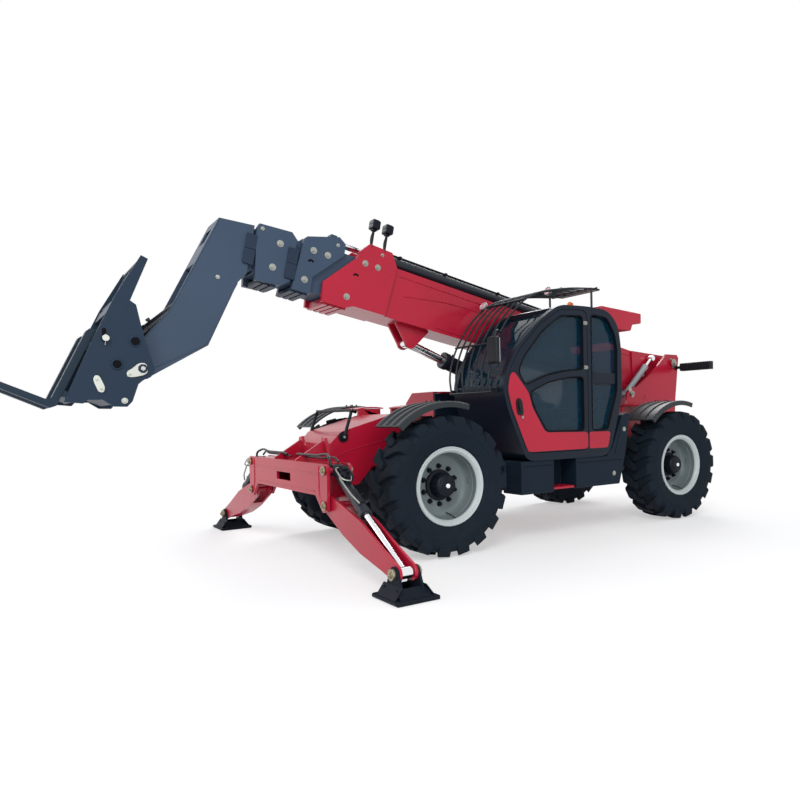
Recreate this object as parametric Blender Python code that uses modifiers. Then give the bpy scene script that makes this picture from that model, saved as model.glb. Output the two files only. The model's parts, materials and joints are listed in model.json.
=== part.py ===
"""Telehandler: a four-section boom with pallet forks, a side cab and two front stabilisers.

Metres, +X forward, +Y to the cab side, +Z up. The design frame has x = 0 midway between the axles
and z = 0 on the ground; the parent empty moves it so that the origin lies under the middle of the
whole machine. The boom is drawn in its own frame (u along it, v square to it, from its pivot), the
carriage in another (p forward, q up, from its pivot), and a stabiliser leg in a third (s along it).
"""
import math

import bmesh
import bpy
from mathutils import Matrix, Vector

# Fits
GAP = 0.0003
RUN = 0.006
OVERLAP = 0.002
ROUND = 8

# Wheels and axles
WHEELBASE = 3.167
AXLE_X = WHEELBASE / 2
TYRE_RADIUS = 0.615
TYRE_HALF = 0.205
WHEEL_Y = 0.922
RIM_SEAT = 0.325
RIM_LIP = 0.344
RIM_HALF = 0.183
DISH_RADIUS = 0.300
HUB_RADIUS = 0.105
DISC_FACE = -0.042
LUGS = 16
LUG_DEPTH = 0.036
LUG_WIDTH = 0.062
LUG_REACH = 0.155
LUG_SLANT = 22
SIDEWALL = TYRE_RADIUS - 0.145
KINGPIN_Y = 0.72
AXLE_RADIUS = 0.12
YOKE_INNER = 0.1403
YOKE_OUTER = 0.19

# Frame
FRAME_INNER = 0.335
FRAME_PLATE = 0.03
FRAME_OUTER = FRAME_INNER + FRAME_PLATE
LEG_X = 2.55
FRONT_FACE = LEG_X - 0.1903
REAR_FACE = -2.60
BELLY_Z = 0.50
ARCH_Z = TYRE_RADIUS + 0.165
FENDER_CLEAR = 0.105
FENDER_RADIUS = TYRE_RADIUS + FENDER_CLEAR
FENDER_THICK = 0.012
FENDER_Y = (0.70, 1.12)
FENDER_LIP = 0.035
FENDER_STEP = 6
FENDER_ARC = (46, 106)
STRIP_ARC = (76, 100)

# Boom, in its own frame
BOOM_PIVOT = (-2.38, 1.86)
BOOM_ANGLE = 11.0
BOOM_TOP = 0.037
BOOM_DEPTH = 0.495
BOOM_HALF = FRAME_INNER - 0.155
BOOM_BOTTOM = BOOM_TOP - BOOM_DEPTH
BOOM_PIN = 0.05
LIFT_PIN = (3.6925, BOOM_BOTTOM - 0.15)
LIFT_BASE = (-1.78, TYRE_RADIUS + 0.205)
LIFT_BASE_PIN = 0.04
LIFT_TIP_PIN = 0.028
LIFT_EYE_HALF = 0.055
COMP_PIN = (0.286, 0.005)
COMP_BASE = (-1.60, 1.46)
COMP_BASE_PIN = 0.022
COMP_TIP_PIN = 0.018
COMP_EYE_HALF = 0.038
COMP_Y = FRAME_INNER - 0.075
TILT_PIN = (5.601, -0.538)
TILT_BASE_PIN = 0.024
TILT_TIP_PIN = 0.028
TILT_EYE_HALF = 0.043
CARRIAGE_PIN = (6.056, -1.427)
RAM_V = 0.137

# Carriage and forks, in the carriage frame
TILT_BACK = 24.8
TILT_EYE = (0.1243, 0.1618)
FORK_SHAFT = (0.3036, 0.0921)
SHAFT_RADIUS = 0.028
PLATE_Y = (0.380, 0.410)
CARRIAGE_FACE = 0.372
FORK_BACK = CARRIAGE_FACE + 0.004
FORK_Y = 0.27
FORK_WIDTH = 0.12
FORK_THICK = 0.05
FORK_LENGTH = 1.20
FORK_HEEL = -0.50

# Stabilisers
LEG_HINGE = (0.907, 0.528)
LEG_FOOT = (1.97, 0.17)
LEG_RAM = (0.907, 0.808)
LEG_HALF = 0.07
LEG_PIN = 0.028

# Cab
CAB_Y = (0.27, 1.09)
CAB_WALL = 0.04
GLASS = 0.006
CAB_OUTLINE = [(0.715, 0.78), (0.93, 1.26), (0.985, 1.46), (0.95, 1.63), (0.83, 1.84), (0.546, 2.117),
               (0.27, 2.294), (-0.14, 2.307), (-0.42, 2.287), (-0.57, 2.14), (-0.61, 1.90),
               (-0.615, 1.40), (-0.44, 0.86), (-0.36, 0.78)]

# name: colour, roughness, metallic
FINISHES = {
    "red_paint": ((0.45, 0.008, 0.02, 1.0), 0.35, 0.1),
    "dark_paint": ((0.035, 0.045, 0.06, 1.0), 0.45, 0.1),
    "black_plastic": ((0.02, 0.021, 0.023, 1.0), 0.6, 0.0),
    "rubber": ((0.022, 0.023, 0.026, 1.0), 0.85, 0.0),
    "silver_paint": ((0.42, 0.44, 0.46, 1.0), 0.4, 0.4),
    "chrome": ((0.75, 0.76, 0.78, 1.0), 0.15, 1.0),
    "glass": ((0.05, 0.07, 0.07, 1.0), 0.05, 0.0),
    "engine_grey": ((0.2, 0.2, 0.21, 1.0), 0.6, 0.3),
    "amber_plastic": ((0.9, 0.2, 0.02, 1.0), 0.3, 0.0),
    "fork_steel": ((0.03, 0.03, 0.035, 1.0), 0.5, 0.5),
}


def collection(name):
    made = bpy.data.collections.new(name)
    bpy.context.scene.collection.children.link(made)
    return made


def material(name):
    if name in bpy.data.materials:
        return bpy.data.materials[name]
    colour, rough, metal = FINISHES[name]
    made = bpy.data.materials.new(name)
    made.use_nodes = True
    shader = made.node_tree.nodes["Principled BSDF"]
    shader.inputs["Base Color"].default_value = colour
    shader.inputs["Roughness"].default_value = rough
    shader.inputs["Metallic"].default_value = metal
    return made


def add_object(mesh):
    made = bpy.data.objects.new("piece", mesh)
    bpy.context.scene.collection.objects.link(made)
    return made


def from_bmesh(form, orient=True):
    """Turn a form into an object; orient points the faces of a form without a cavity outward."""
    if orient:
        form.normal_update()
        bmesh.ops.recalc_face_normals(form, faces=form.faces)
    mesh = bpy.data.meshes.new("piece")
    form.to_mesh(mesh)
    form.free()
    return add_object(mesh)


def bake(source, orient=True):
    """Replace an object by its evaluated mesh, welded, with its modifiers applied."""
    graph = bpy.context.evaluated_depsgraph_get()
    mesh = bpy.data.meshes.new_from_object(source.evaluated_get(graph))
    form = bmesh.new()
    form.from_mesh(mesh)
    bmesh.ops.remove_doubles(form, verts=form.verts, dist=0.00002)
    form.transform(source.matrix_world)
    bpy.data.meshes.remove(mesh)
    bpy.data.objects.remove(source)
    return from_bmesh(form, orient)


def box(x, y, z):
    """A block between the low and high value of each axis."""
    form = bmesh.new()
    bmesh.ops.create_cube(form, size=1)
    size = Vector((x[1] - x[0], y[1] - y[0], z[1] - z[0]))
    middle = Vector((x[1] + x[0], y[1] + y[0], z[1] + z[0])) / 2
    form.transform(Matrix.Translation(middle) @ Matrix.Diagonal((*size, 1)))
    return from_bmesh(form)


TURNS = {
    "x": Matrix(((0, 0, 1, 0), (1, 0, 0, 0), (0, 1, 0, 0), (0, 0, 0, 1))),
    "y": Matrix(((1, 0, 0, 0), (0, 0, -1, 0), (0, 1, 0, 0), (0, 0, 0, 1))),
    "z": Matrix.Identity(4),
}


def prism(outline, span, axis="y"):
    """A flat outline, (x, z) for axis y, (y, z) for axis x or (x, y) for axis z, made thick."""
    curve = bpy.data.curves.new("outline", "CURVE")
    curve.dimensions = "2D"
    curve.fill_mode = "BOTH"
    curve.extrude = abs(span[1] - span[0]) / 2
    line = curve.splines.new("POLY")
    line.points.add(len(outline) - 1)
    for point, (a, b) in zip(line.points, outline):
        point.co = (a, b, 0, 1)
    line.use_cyclic_u = True
    made = add_object(curve)
    middle = (span[0] + span[1]) / 2
    shift = Vector([middle if name == axis else 0 for name in "xyz"])
    made.matrix_world = Matrix.Translation(shift) @ TURNS[axis]
    bpy.context.view_layer.update()
    return bake(made)


def rod(start, end, radius, sides=ROUND):
    """A round bar between two points."""
    start, end = Vector(start), Vector(end)
    form = bmesh.new()
    bmesh.ops.create_cone(form, cap_ends=True, segments=sides, radius1=radius, radius2=radius,
                          depth=(end - start).length)
    turn = (end - start).to_track_quat("Z", "Y").to_matrix().to_4x4()
    form.transform(Matrix.Translation((start + end) / 2) @ turn)
    return from_bmesh(form)


def cross_rod(place, y, radius, sides=ROUND):
    """A round bar along Y at an (x, z) place."""
    return rod((place[0], y[0], place[1]), (place[0], y[1], place[1]), radius, sides)


def turned(profile, sides=ROUND, ring=False):
    """A (radius, height) profile turned about Z. A ring's profile is closed."""
    form = bmesh.new()
    points = [form.verts.new((radius, 0, height)) for radius, height in profile]
    for first, second in zip(points, points[1:]):
        form.edges.new((first, second))
    if ring:
        form.edges.new((points[-1], points[0]))
    mesh = bpy.data.meshes.new("profile")
    form.to_mesh(mesh)
    form.free()
    made = add_object(mesh)
    screw = made.modifiers.new("turn", "SCREW")
    screw.steps = sides
    screw.render_steps = sides
    screw.use_merge_vertices = True
    screw.merge_threshold = 0.00002
    return bake(made)


def pipe(points, radius, resolution=0):
    """A bent tube through points."""
    curve = bpy.data.curves.new("pipe", "CURVE")
    curve.dimensions = "3D"
    curve.bevel_depth = radius
    curve.bevel_resolution = resolution
    curve.use_fill_caps = True
    line = curve.splines.new("POLY")
    line.points.add(len(points) - 1)
    for point, place in zip(line.points, points):
        point.co = (*place, 1)
    return bake(add_object(curve))


def combine(base, tool, operation, solver):
    modifier = base.modifiers.new("combine", "BOOLEAN")
    modifier.operation = operation
    modifier.solver = solver
    modifier.object = tool
    made = bake(base, orient=False)
    bpy.data.objects.remove(tool)
    return made


def join(base, *others, solver="EXACT"):
    for other in others:
        base = combine(base, other, "UNION", solver)
    return base


def cut(base, *cutters, solver="EXACT"):
    for cutter in cutters:
        base = combine(base, cutter, "DIFFERENCE", solver)
    return base


def moved(piece, matrix):
    piece.data.transform(matrix)
    if matrix.determinant() < 0:
        piece.data.flip_normals()
    return piece


def mirrored(piece):
    return moved(piece, Matrix.Scale(-1, 4, (0, 1, 0)))


def both_sides(make):
    """A pair of like pieces, the second one mirrored across the centre plane."""
    return make(), mirrored(make())


def turn_about(place, angle):
    """The frame at an (x, z) place whose first axis points up by an angle in degrees."""
    return Matrix.Translation((place[0], 0, place[1])) @ Matrix.Rotation(-math.radians(angle), 4, "Y")


def bore(radius, sides=ROUND):
    """The hole radius in which a many-sided pin of this radius can turn."""
    return radius / math.cos(math.pi / sides) + GAP


def arc(middle, radius, first, last, steps):
    """Points on an arc, from the first to the last angle in degrees."""
    angles = [math.radians(first + (last - first) * step / steps) for step in range(steps + 1)]
    return [(middle[0] + radius * math.cos(a), middle[1] + radius * math.sin(a)) for a in angles]


def band(middle, inner, outer, angles):
    """The outline of a curved strip between two radii, in steps that line up between strips."""
    first, last = angles
    steps = round((last - first) / FENDER_STEP)
    return arc(middle, outer, first, last, steps) + arc(middle, inner, last, first, steps)


def inset(outline, depth):
    """A closed outline moved inward by a depth; its points run anticlockwise."""
    made = []
    count = len(outline)
    for index, point in enumerate(outline):
        here = Vector(point)
        before = (here - Vector(outline[index - 1])).normalized()
        after = (Vector(outline[(index + 1) % count]) - here).normalized()
        inward = Vector((-before.y, before.x)) + Vector((-after.y, after.x))
        inward.normalize()
        scale = depth / inward.dot(Vector((-before.y, before.x)))
        made.append(tuple(here + inward * scale))
    return made


PARTS = None
ROOT = None


def node(piece, name, finish, origin=(0, 0, 0)):
    """Name a piece, give it its material and put its origin on its joint or at its place."""
    form = bmesh.new()
    form.from_mesh(piece.data)
    bmesh.ops.dissolve_limit(form, angle_limit=0.002, verts=form.verts, edges=form.edges)
    form.transform(Matrix.Translation(-Vector(origin)))
    form.to_mesh(piece.data)
    form.free()
    piece.name = name
    piece.data.name = name
    piece.data.materials.clear()
    piece.data.materials.append(material(finish))
    piece.data.shade_smooth()
    piece.data.set_sharp_from_angle(angle=math.radians(35))
    for home in list(piece.users_collection):
        home.objects.unlink(piece)
    PARTS.objects.link(piece)
    piece.parent = ROOT
    piece.location = origin
    return piece


BOOM = turn_about(BOOM_PIVOT, BOOM_ANGLE)
CARRIAGE_AT = BOOM @ Vector((CARRIAGE_PIN[0], 0, CARRIAGE_PIN[1]))
CARRIAGE = turn_about((CARRIAGE_AT.x, CARRIAGE_AT.z), TILT_BACK)


def on_boom(place):
    at = BOOM @ Vector((place[0], 0, place[1]))
    return at.x, at.z


def on_carriage(place):
    at = CARRIAGE @ Vector((place[0], 0, place[1]))
    return at.x, at.z


def ram(base, tip, pin, sizes, name, finish):
    """A hydraulic cylinder as a barrel, hinged at its base, and the rod that slides in it.

    sizes: barrel radius, rod radius, barrel length, rod start, base eye radius, tip eye radius,
    eye half-width, base pin radius, tip pin radius
    """
    radius, rod_radius, length, start, base_eye, eye, half, base_pin, tip_pin = sizes
    base, tip = Vector(base), Vector(tip)
    along = (tip - base).normalized()
    across = Vector(pin)
    third = along.cross(across)
    frame = Matrix((across, third, along)).transposed().to_4x4()
    frame = Matrix.Translation(base) @ frame
    reach = (tip - base).length
    inside = radius * 0.72
    foot = base_eye * 0.6
    gland = 0.05
    floor = 0.035
    barrel = turned([(0, length), (radius, length), (radius, foot), (0, foot)])
    hollow = turned([(0, length - gland), (inside, length - gland), (inside, foot + floor),
                     (0, foot + floor)])
    throat = turned([(0, length + gland), (rod_radius + GAP, length + gland),
                     (rod_radius + GAP, length - 2 * gland), (0, length - 2 * gland)])
    barrel = cut(barrel, hollow, throat)
    barrel = join(barrel, rod((-half, 0, 0), (half, 0, 0), base_eye))
    barrel = cut(barrel, rod((-half - 0.01, 0, 0), (half + 0.01, 0, 0), bore(base_pin)))
    piston = 0.04
    stem = turned([(0, reach - eye * 0.5), (rod_radius, reach - eye * 0.5), (rod_radius, start + piston),
                   (inside - GAP, start + piston), (inside - GAP, start), (0, start)])
    stem = join(stem, rod((-half, 0, reach), (half, 0, reach), eye))
    stem = cut(stem, rod((-half - 0.01, 0, reach), (half + 0.01, 0, reach), bore(tip_pin)))
    node(moved(barrel, frame), name + "_barrel", finish, base)
    node(moved(stem, frame), name + "_rod", "chrome", base)


# Frame: (x, z) outline of a side plate, from the rear around the top to the front
TOWER_TOP = [(-2.40, 0.62), (-2.45, 1.40), (-2.52, 1.93), (-2.49, 1.97), (-2.27, 1.97), (-2.22, 1.92),
             (-2.00, 1.733), (-1.71, 1.545), (-1.58, 1.52), (-1.52, 1.46), (-1.50, 1.32),
             (-1.20, 1.05), (-0.85, 0.775)]
FRONT_TOP = [(1.02, 0.775), (1.22, 1.12), (1.35, 1.23), (1.73, 1.253), (2.26, 1.10), (FRONT_FACE, 1.00)]
UNDERSIDE = [(FRONT_FACE, 0.62), (2.10, 0.62), (1.95, ARCH_Z), (1.22, ARCH_Z), (1.05, BELLY_Z),
             (-1.05, BELLY_Z), (-1.22, ARCH_Z), (-1.95, ARCH_Z), (-2.10, 0.62)]


def make_frame():
    outline = TOWER_TOP + FRONT_TOP + UNDERSIDE
    pieces = list(both_sides(lambda: prism(outline, (FRAME_INNER, FRAME_OUTER))))
    reach = FRAME_INNER + OVERLAP
    pad_z = TYRE_RADIUS + AXLE_RADIUS * math.cos(math.pi / ROUND) + GAP
    # x low, x high, y low, y high, z low, z high
    members = [
        (-1.05, 1.05, -reach, reach, BELLY_Z, BELLY_Z + 0.03),
        (FRONT_FACE - 0.03, FRONT_FACE, -reach, reach, 0.62, 1.0),
        (REAR_FACE, -2.39, -reach, reach, 0.66, 1.12),
        (-0.52, -0.38, -0.95, 0.30, 0.42, BELLY_Z - GAP),
        (0.38, 0.52, -0.95, 0.30, 0.42, BELLY_Z - GAP),
        (-0.50, -0.40, -0.30, 0.30, 0.47, BELLY_Z + 0.01),
        (0.40, 0.50, -0.30, 0.30, 0.47, BELLY_Z + 0.01),
        (-0.52, -0.38, FRAME_INNER + 0.005, 0.5997, 0.70, 0.7797),
        (0.38, 0.52, FRAME_INNER + 0.005, 0.5997, 0.70, 0.7797),
    ]
    for x0, x1, y0, y1, z0, z1 in members:
        pieces.append(box((x0, x1), (y0, y1), (z0, z1)))
    for axle in (-AXLE_X, AXLE_X):
        for side in (-1, 1):
            y = sorted((side * 0.18, side * reach))
            pieces.append(box((axle - 0.11, axle + 0.11), y, (pad_z, ARCH_Z + 0.06)))
    hood = [(FRONT_FACE, 0.985), (2.26, 1.085), (1.73, 1.238), (1.45, 1.221),
            (1.45, 1.236), (1.73, 1.253), (2.26, 1.10), (FRONT_FACE, 1.00)]
    pieces.append(prism(hood, (-reach, reach)))
    strip_top = TYRE_RADIUS + FENDER_RADIUS * math.sin(math.radians(STRIP_ARC[0]))
    for axle in (AXLE_X, -AXLE_X):
        strip = band((axle, TYRE_RADIUS), FENDER_RADIUS - FENDER_THICK, FENDER_RADIUS - GAP, STRIP_ARC)
        for side in (-1, 1):
            pieces.append(prism(strip, sorted((side * FRAME_INNER, side * 1.04))))
            y = sorted((side * FRAME_INNER, side * FRAME_OUTER))
            pieces.append(box((axle - 0.09, axle + 0.16), y, (1.18, strip_top)))
    pieces.append(cross_rod(BOOM_PIVOT, (-FRAME_OUTER - 0.035, FRAME_OUTER + 0.035), BOOM_PIN))
    pieces.append(cross_rod(LIFT_BASE, (-FRAME_OUTER - 0.015, FRAME_OUTER + 0.015), LIFT_BASE_PIN))
    for side in (-1, 1):
        collar = sorted((side * (LIFT_EYE_HALF + GAP), side * (LIFT_EYE_HALF + 0.03)))
        pieces.append(cross_rod(LIFT_BASE, collar, 0.046))
    near = COMP_Y - COMP_EYE_HALF
    pieces.append(cross_rod(COMP_BASE, (near - 0.01, FRAME_OUTER + 0.015), COMP_BASE_PIN))
    pieces.append(cross_rod(COMP_BASE, (near - 0.03, near - GAP), 0.030))
    node(join(*pieces, solver="MANIFOLD"), "frame", "red_paint")


# Stabiliser beam: (y, z) outline of the front and rear plates
BEAM_OUTLINE = [(-0.95, 0.49), (-0.86, 0.47), (-0.72, 0.60), (0.72, 0.60), (0.86, 0.47), (0.95, 0.49),
                (0.965, 0.84), (0.93, 0.86), (-0.93, 0.86), (-0.965, 0.84)]
BEAM_PLATES = ((LEG_X - 0.19, LEG_X - 0.165), (LEG_X - 0.105, LEG_X - 0.08), (LEG_X + 0.08, LEG_X + 0.105))


def make_beam():
    rear, middle, front = BEAM_PLATES
    beam = prism(BEAM_OUTLINE, front, "x")
    beam = cut(beam, box((LEG_X + 0.05, LEG_X + 0.15), (-0.17, 0.17), (0.68, 0.75)))
    beam = join(beam, prism(BEAM_OUTLINE, middle, "x"))
    # x low, x high, half width, z low, z high
    webs = [
        (rear[1] + 0.075, front[0] + 0.01, 0.79, 0.835, 0.855),
        (rear[1] + 0.075, front[0] + 0.01, 0.70, 0.605, 0.625),
        (rear[0] + 0.01, middle[0] + 0.015, 0.36, 0.835, 0.855),
        (rear[0] + 0.01, middle[0] + 0.015, 0.36, 0.605, 0.625),
    ]
    for x0, x1, half, z0, z1 in webs:
        beam = join(beam, box((x0, x1), (-half, half), (z0, z1)))
    horns = [(-0.40, 0.60), (0.40, 0.60), (0.38, 0.86), (0.30, 1.05), (0.235, 1.06), (0.215, 1.0),
             (0.10, 0.96), (-0.10, 0.96), (-0.215, 1.0), (-0.235, 1.06), (-0.30, 1.05), (-0.38, 0.86)]
    beam = join(beam, prism(horns, rear, "x"))
    for y in (-0.262, 0.262):
        back, tip = rear[0] + 0.015, front[0] + 0.01
        gusset = [(back, 0.85), (tip, 0.85), (tip, 0.87), (back + 0.025, 1.02), (back, 1.02)]
        beam = join(beam, prism(gusset, (y - 0.012, y + 0.012)))
    for side in (-1, 1):
        wall = sorted((side * 0.76, side * 0.78))
        beam = join(beam, box((middle[0] + 0.015, front[0] + 0.01), wall, (0.57, 0.85)))
        for y, z in (LEG_HINGE, LEG_RAM):
            beam = join(beam, rod((middle[0] - 0.015, side * y, z), (front[1] + 0.015, side * y, z), LEG_PIN))
    node(beam, "stabiliser_beam", "red_paint")


def make_axle(x, name):
    profile = [(0, 0.60), (0.095, 0.60), (0.095, 0.40), (AXLE_RADIUS, 0.35), (AXLE_RADIUS, 0.15),
               (0.145, 0.11), (0.145, -0.11), (AXLE_RADIUS, -0.15), (AXLE_RADIUS, -0.35),
               (0.095, -0.40), (0.095, -0.60), (0, -0.60)]
    flat_up = Matrix.Rotation(math.pi / 2 - math.pi / ROUND, 4, "Z")
    axle = moved(turned(profile), Matrix.Rotation(math.pi / 2, 4, "X") @ flat_up)
    toward = -1 if x > 0 else 1
    axle = join(axle, rod((0, 0, 0), (toward * 0.32, 0, 0), 0.075))
    yoke = [(0.58, -YOKE_OUTER), (0.765, -YOKE_OUTER), (0.765, -YOKE_INNER), (0.64, -YOKE_INNER),
            (0.64, YOKE_INNER), (0.765, YOKE_INNER), (0.765, YOKE_OUTER), (0.58, YOKE_OUTER)]
    for piece in both_sides(lambda: prism(yoke, (-0.06, 0.06), "x")):
        axle = join(axle, piece)
    for side in (-1, 1):
        for up in (-1, 1):
            foot, tip = sorted((up * (YOKE_OUTER - 0.01), up * (YOKE_OUTER + 0.02)))
            axle = join(axle, rod((0, side * KINGPIN_Y, foot), (0, side * KINGPIN_Y, tip), 0.04))
    node(moved(axle, Matrix.Translation((x, 0, TYRE_RADIUS))), name, "dark_paint")


def make_knuckle(x, side, name):
    height = YOKE_INNER - GAP
    face = WHEEL_Y + DISC_FACE - GAP
    knuckle = rod((0, 0, -height), (0, 0, height), 0.07)
    knuckle = join(knuckle, rod((0, 0, 0), (0, face - KINGPIN_Y, 0), 0.085))
    knuckle = join(knuckle, rod((0, face - KINGPIN_Y - 0.03, 0), (0, face - KINGPIN_Y, 0), 0.12))
    if side < 0:
        mirrored(knuckle)
    origin = (x, side * KINGPIN_Y, TYRE_RADIUS)
    node(moved(knuckle, Matrix.Translation(origin)), name, "dark_paint", origin)


def lug_extent():
    """How far the corner of a slanted lug lies from its own middle, along the tread."""
    slant = math.radians(LUG_SLANT)
    return LUG_REACH / 2 * math.sin(slant) + LUG_WIDTH / 2 * math.cos(slant)


def make_lugs():
    """The lugs of both halves of a tread, each half a step behind the other, on a tyre about Z."""
    top = math.sqrt(TYRE_RADIUS ** 2 - lug_extent() ** 2)
    root = TYRE_RADIUS - LUG_DEPTH - 0.02
    outline = [(top, 0), (top, LUG_REACH), (TYRE_RADIUS - 0.085, TYRE_HALF - 0.001), (SIDEWALL + 0.03, 0.17),
               (root, 0)]
    middle = Matrix.Translation((0, 0, LUG_REACH / 2))
    slant = middle @ Matrix.Rotation(math.radians(LUG_SLANT), 4, "X") @ middle.inverted()
    lug = moved(prism(outline, (-LUG_WIDTH / 2, LUG_WIDTH / 2)), slant)
    form = bmesh.new()
    step = math.tau / LUGS
    for mirror, offset in ((Matrix.Identity(4), 0), (Matrix.Scale(-1, 4, (0, 0, 1)), step / 2)):
        for index in range(LUGS):
            turn = Matrix.Rotation(offset + step * index, 4, "Z") @ mirror
            copy = lug.data.copy()
            copy.transform(turn)
            form.from_mesh(copy)
            bpy.data.meshes.remove(copy)
    bpy.data.objects.remove(lug)
    return from_bmesh(form)


def make_wheel(x, side, name):
    # One corner of a lug points straight down
    lowest = math.pi / 2 + math.asin(lug_extent() / TYRE_RADIUS)
    turn = Matrix.Rotation(math.radians(-90), 4, "X") @ Matrix.Rotation(lowest, 4, "Z")
    tread = TYRE_RADIUS - LUG_DEPTH
    # radius, offset from the wheel's centre plane
    tyre = [(RIM_SEAT + GAP, -0.150), (RIM_LIP + 0.012, -0.165), (SIDEWALL, -TYRE_HALF), (tread, -0.14),
            (tread, 0.14), (SIDEWALL, TYRE_HALF), (RIM_LIP + 0.012, 0.165), (RIM_SEAT + GAP, 0.150)]
    rim = [(0, 0.13), (0.05, 0.13), (0.095, 0.10), (HUB_RADIUS, 0.0), (0.26, 0.02),
           (DISH_RADIUS, 0.06), (0.315, RIM_HALF), (RIM_LIP, RIM_HALF), (RIM_SEAT, 0.163),
           (RIM_SEAT, -0.163), (RIM_LIP, -RIM_HALF), (0.31, -RIM_HALF),
           (0.165, DISC_FACE), (0, DISC_FACE)]
    origin = (x, side * WHEEL_Y, TYRE_RADIUS)
    casing = join(turned(tyre, LUGS, ring=True), make_lugs())
    pieces = [(casing, "tyre_" + name, "rubber"), (turned(rim, LUGS), "rim_" + name, "silver_paint")]
    for piece, title, finish in pieces:
        moved(piece, turn)
        if side < 0:
            mirrored(piece)
        node(moved(piece, Matrix.Translation(origin)), title, finish, origin)


def make_fender(x, side, name):
    outline = band((x, TYRE_RADIUS), FENDER_RADIUS, FENDER_RADIUS + FENDER_THICK, FENDER_ARC)
    lip = band((x, TYRE_RADIUS), FENDER_RADIUS - FENDER_LIP, FENDER_RADIUS + FENDER_THICK, FENDER_ARC)
    fender = join(prism(outline, FENDER_Y), prism(lip, (FENDER_Y[1] - 0.015, FENDER_Y[1])))
    if side < 0:
        mirrored(fender)
    node(fender, name, "black_plastic", (x, 0, TYRE_RADIUS))


def section(tail, front, half, slack, wall):
    """A hollow boom section; slack is how far its top lies under the outer section's top."""
    top, bottom = BOOM_TOP - slack, BOOM_BOTTOM + slack
    tube = box((tail, front), (-half, half), (bottom, top))
    inner = box((tail - 1, front + 1), (-half + wall, half - wall), (bottom + wall, top - wall))
    return cut(tube, inner)


# tail, front, half width, slack at top and bottom, wall
SECTIONS = {
    "outer": (0.12, 4.4165, BOOM_HALF, 0.0, 0.012),
    "second": (0.35, 4.96, BOOM_HALF - 0.022, 0.024, 0.010),
    "third": (0.60, 5.33, BOOM_HALF - 0.042, 0.046, 0.010),
    "inner": (0.85, 5.40, BOOM_HALF - 0.062, 0.068, 0.010),
}


def pads(tube, carrier, rider, at):
    """Wear pads on a section that leave the fit gap to the section inside or outside it."""
    half_in, slack_in = carrier[2] - carrier[4], carrier[3] + carrier[4]
    half_out, slack_out = rider[2], rider[3]
    outward = at < 1.5
    grip = OVERLAP
    x = (at, at + 0.10)
    high_y = half_in + (-GAP if outward else grip)
    low_y = half_out + (-grip if outward else GAP)
    high_s = slack_in + (GAP if outward else -grip)
    low_s = slack_out + (grip if outward else -GAP)
    bottom = BOOM_BOTTOM
    blocks = [
        ((-0.06, 0.06), (BOOM_TOP - low_s, BOOM_TOP - high_s)),
        ((-0.06, 0.06), (bottom + high_s, bottom + low_s)),
        ((low_y, high_y), (-0.30, -0.14)),
        ((-high_y, -low_y), (-0.30, -0.14)),
    ]
    for y, z in blocks:
        tube = join(tube, box(x, y, z))
    return tube


def head_plates(tube, outline, inner, outer):
    for piece in both_sides(lambda: prism(outline, (inner - OVERLAP, outer))):
        tube = join(tube, piece)
    return tube


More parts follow.
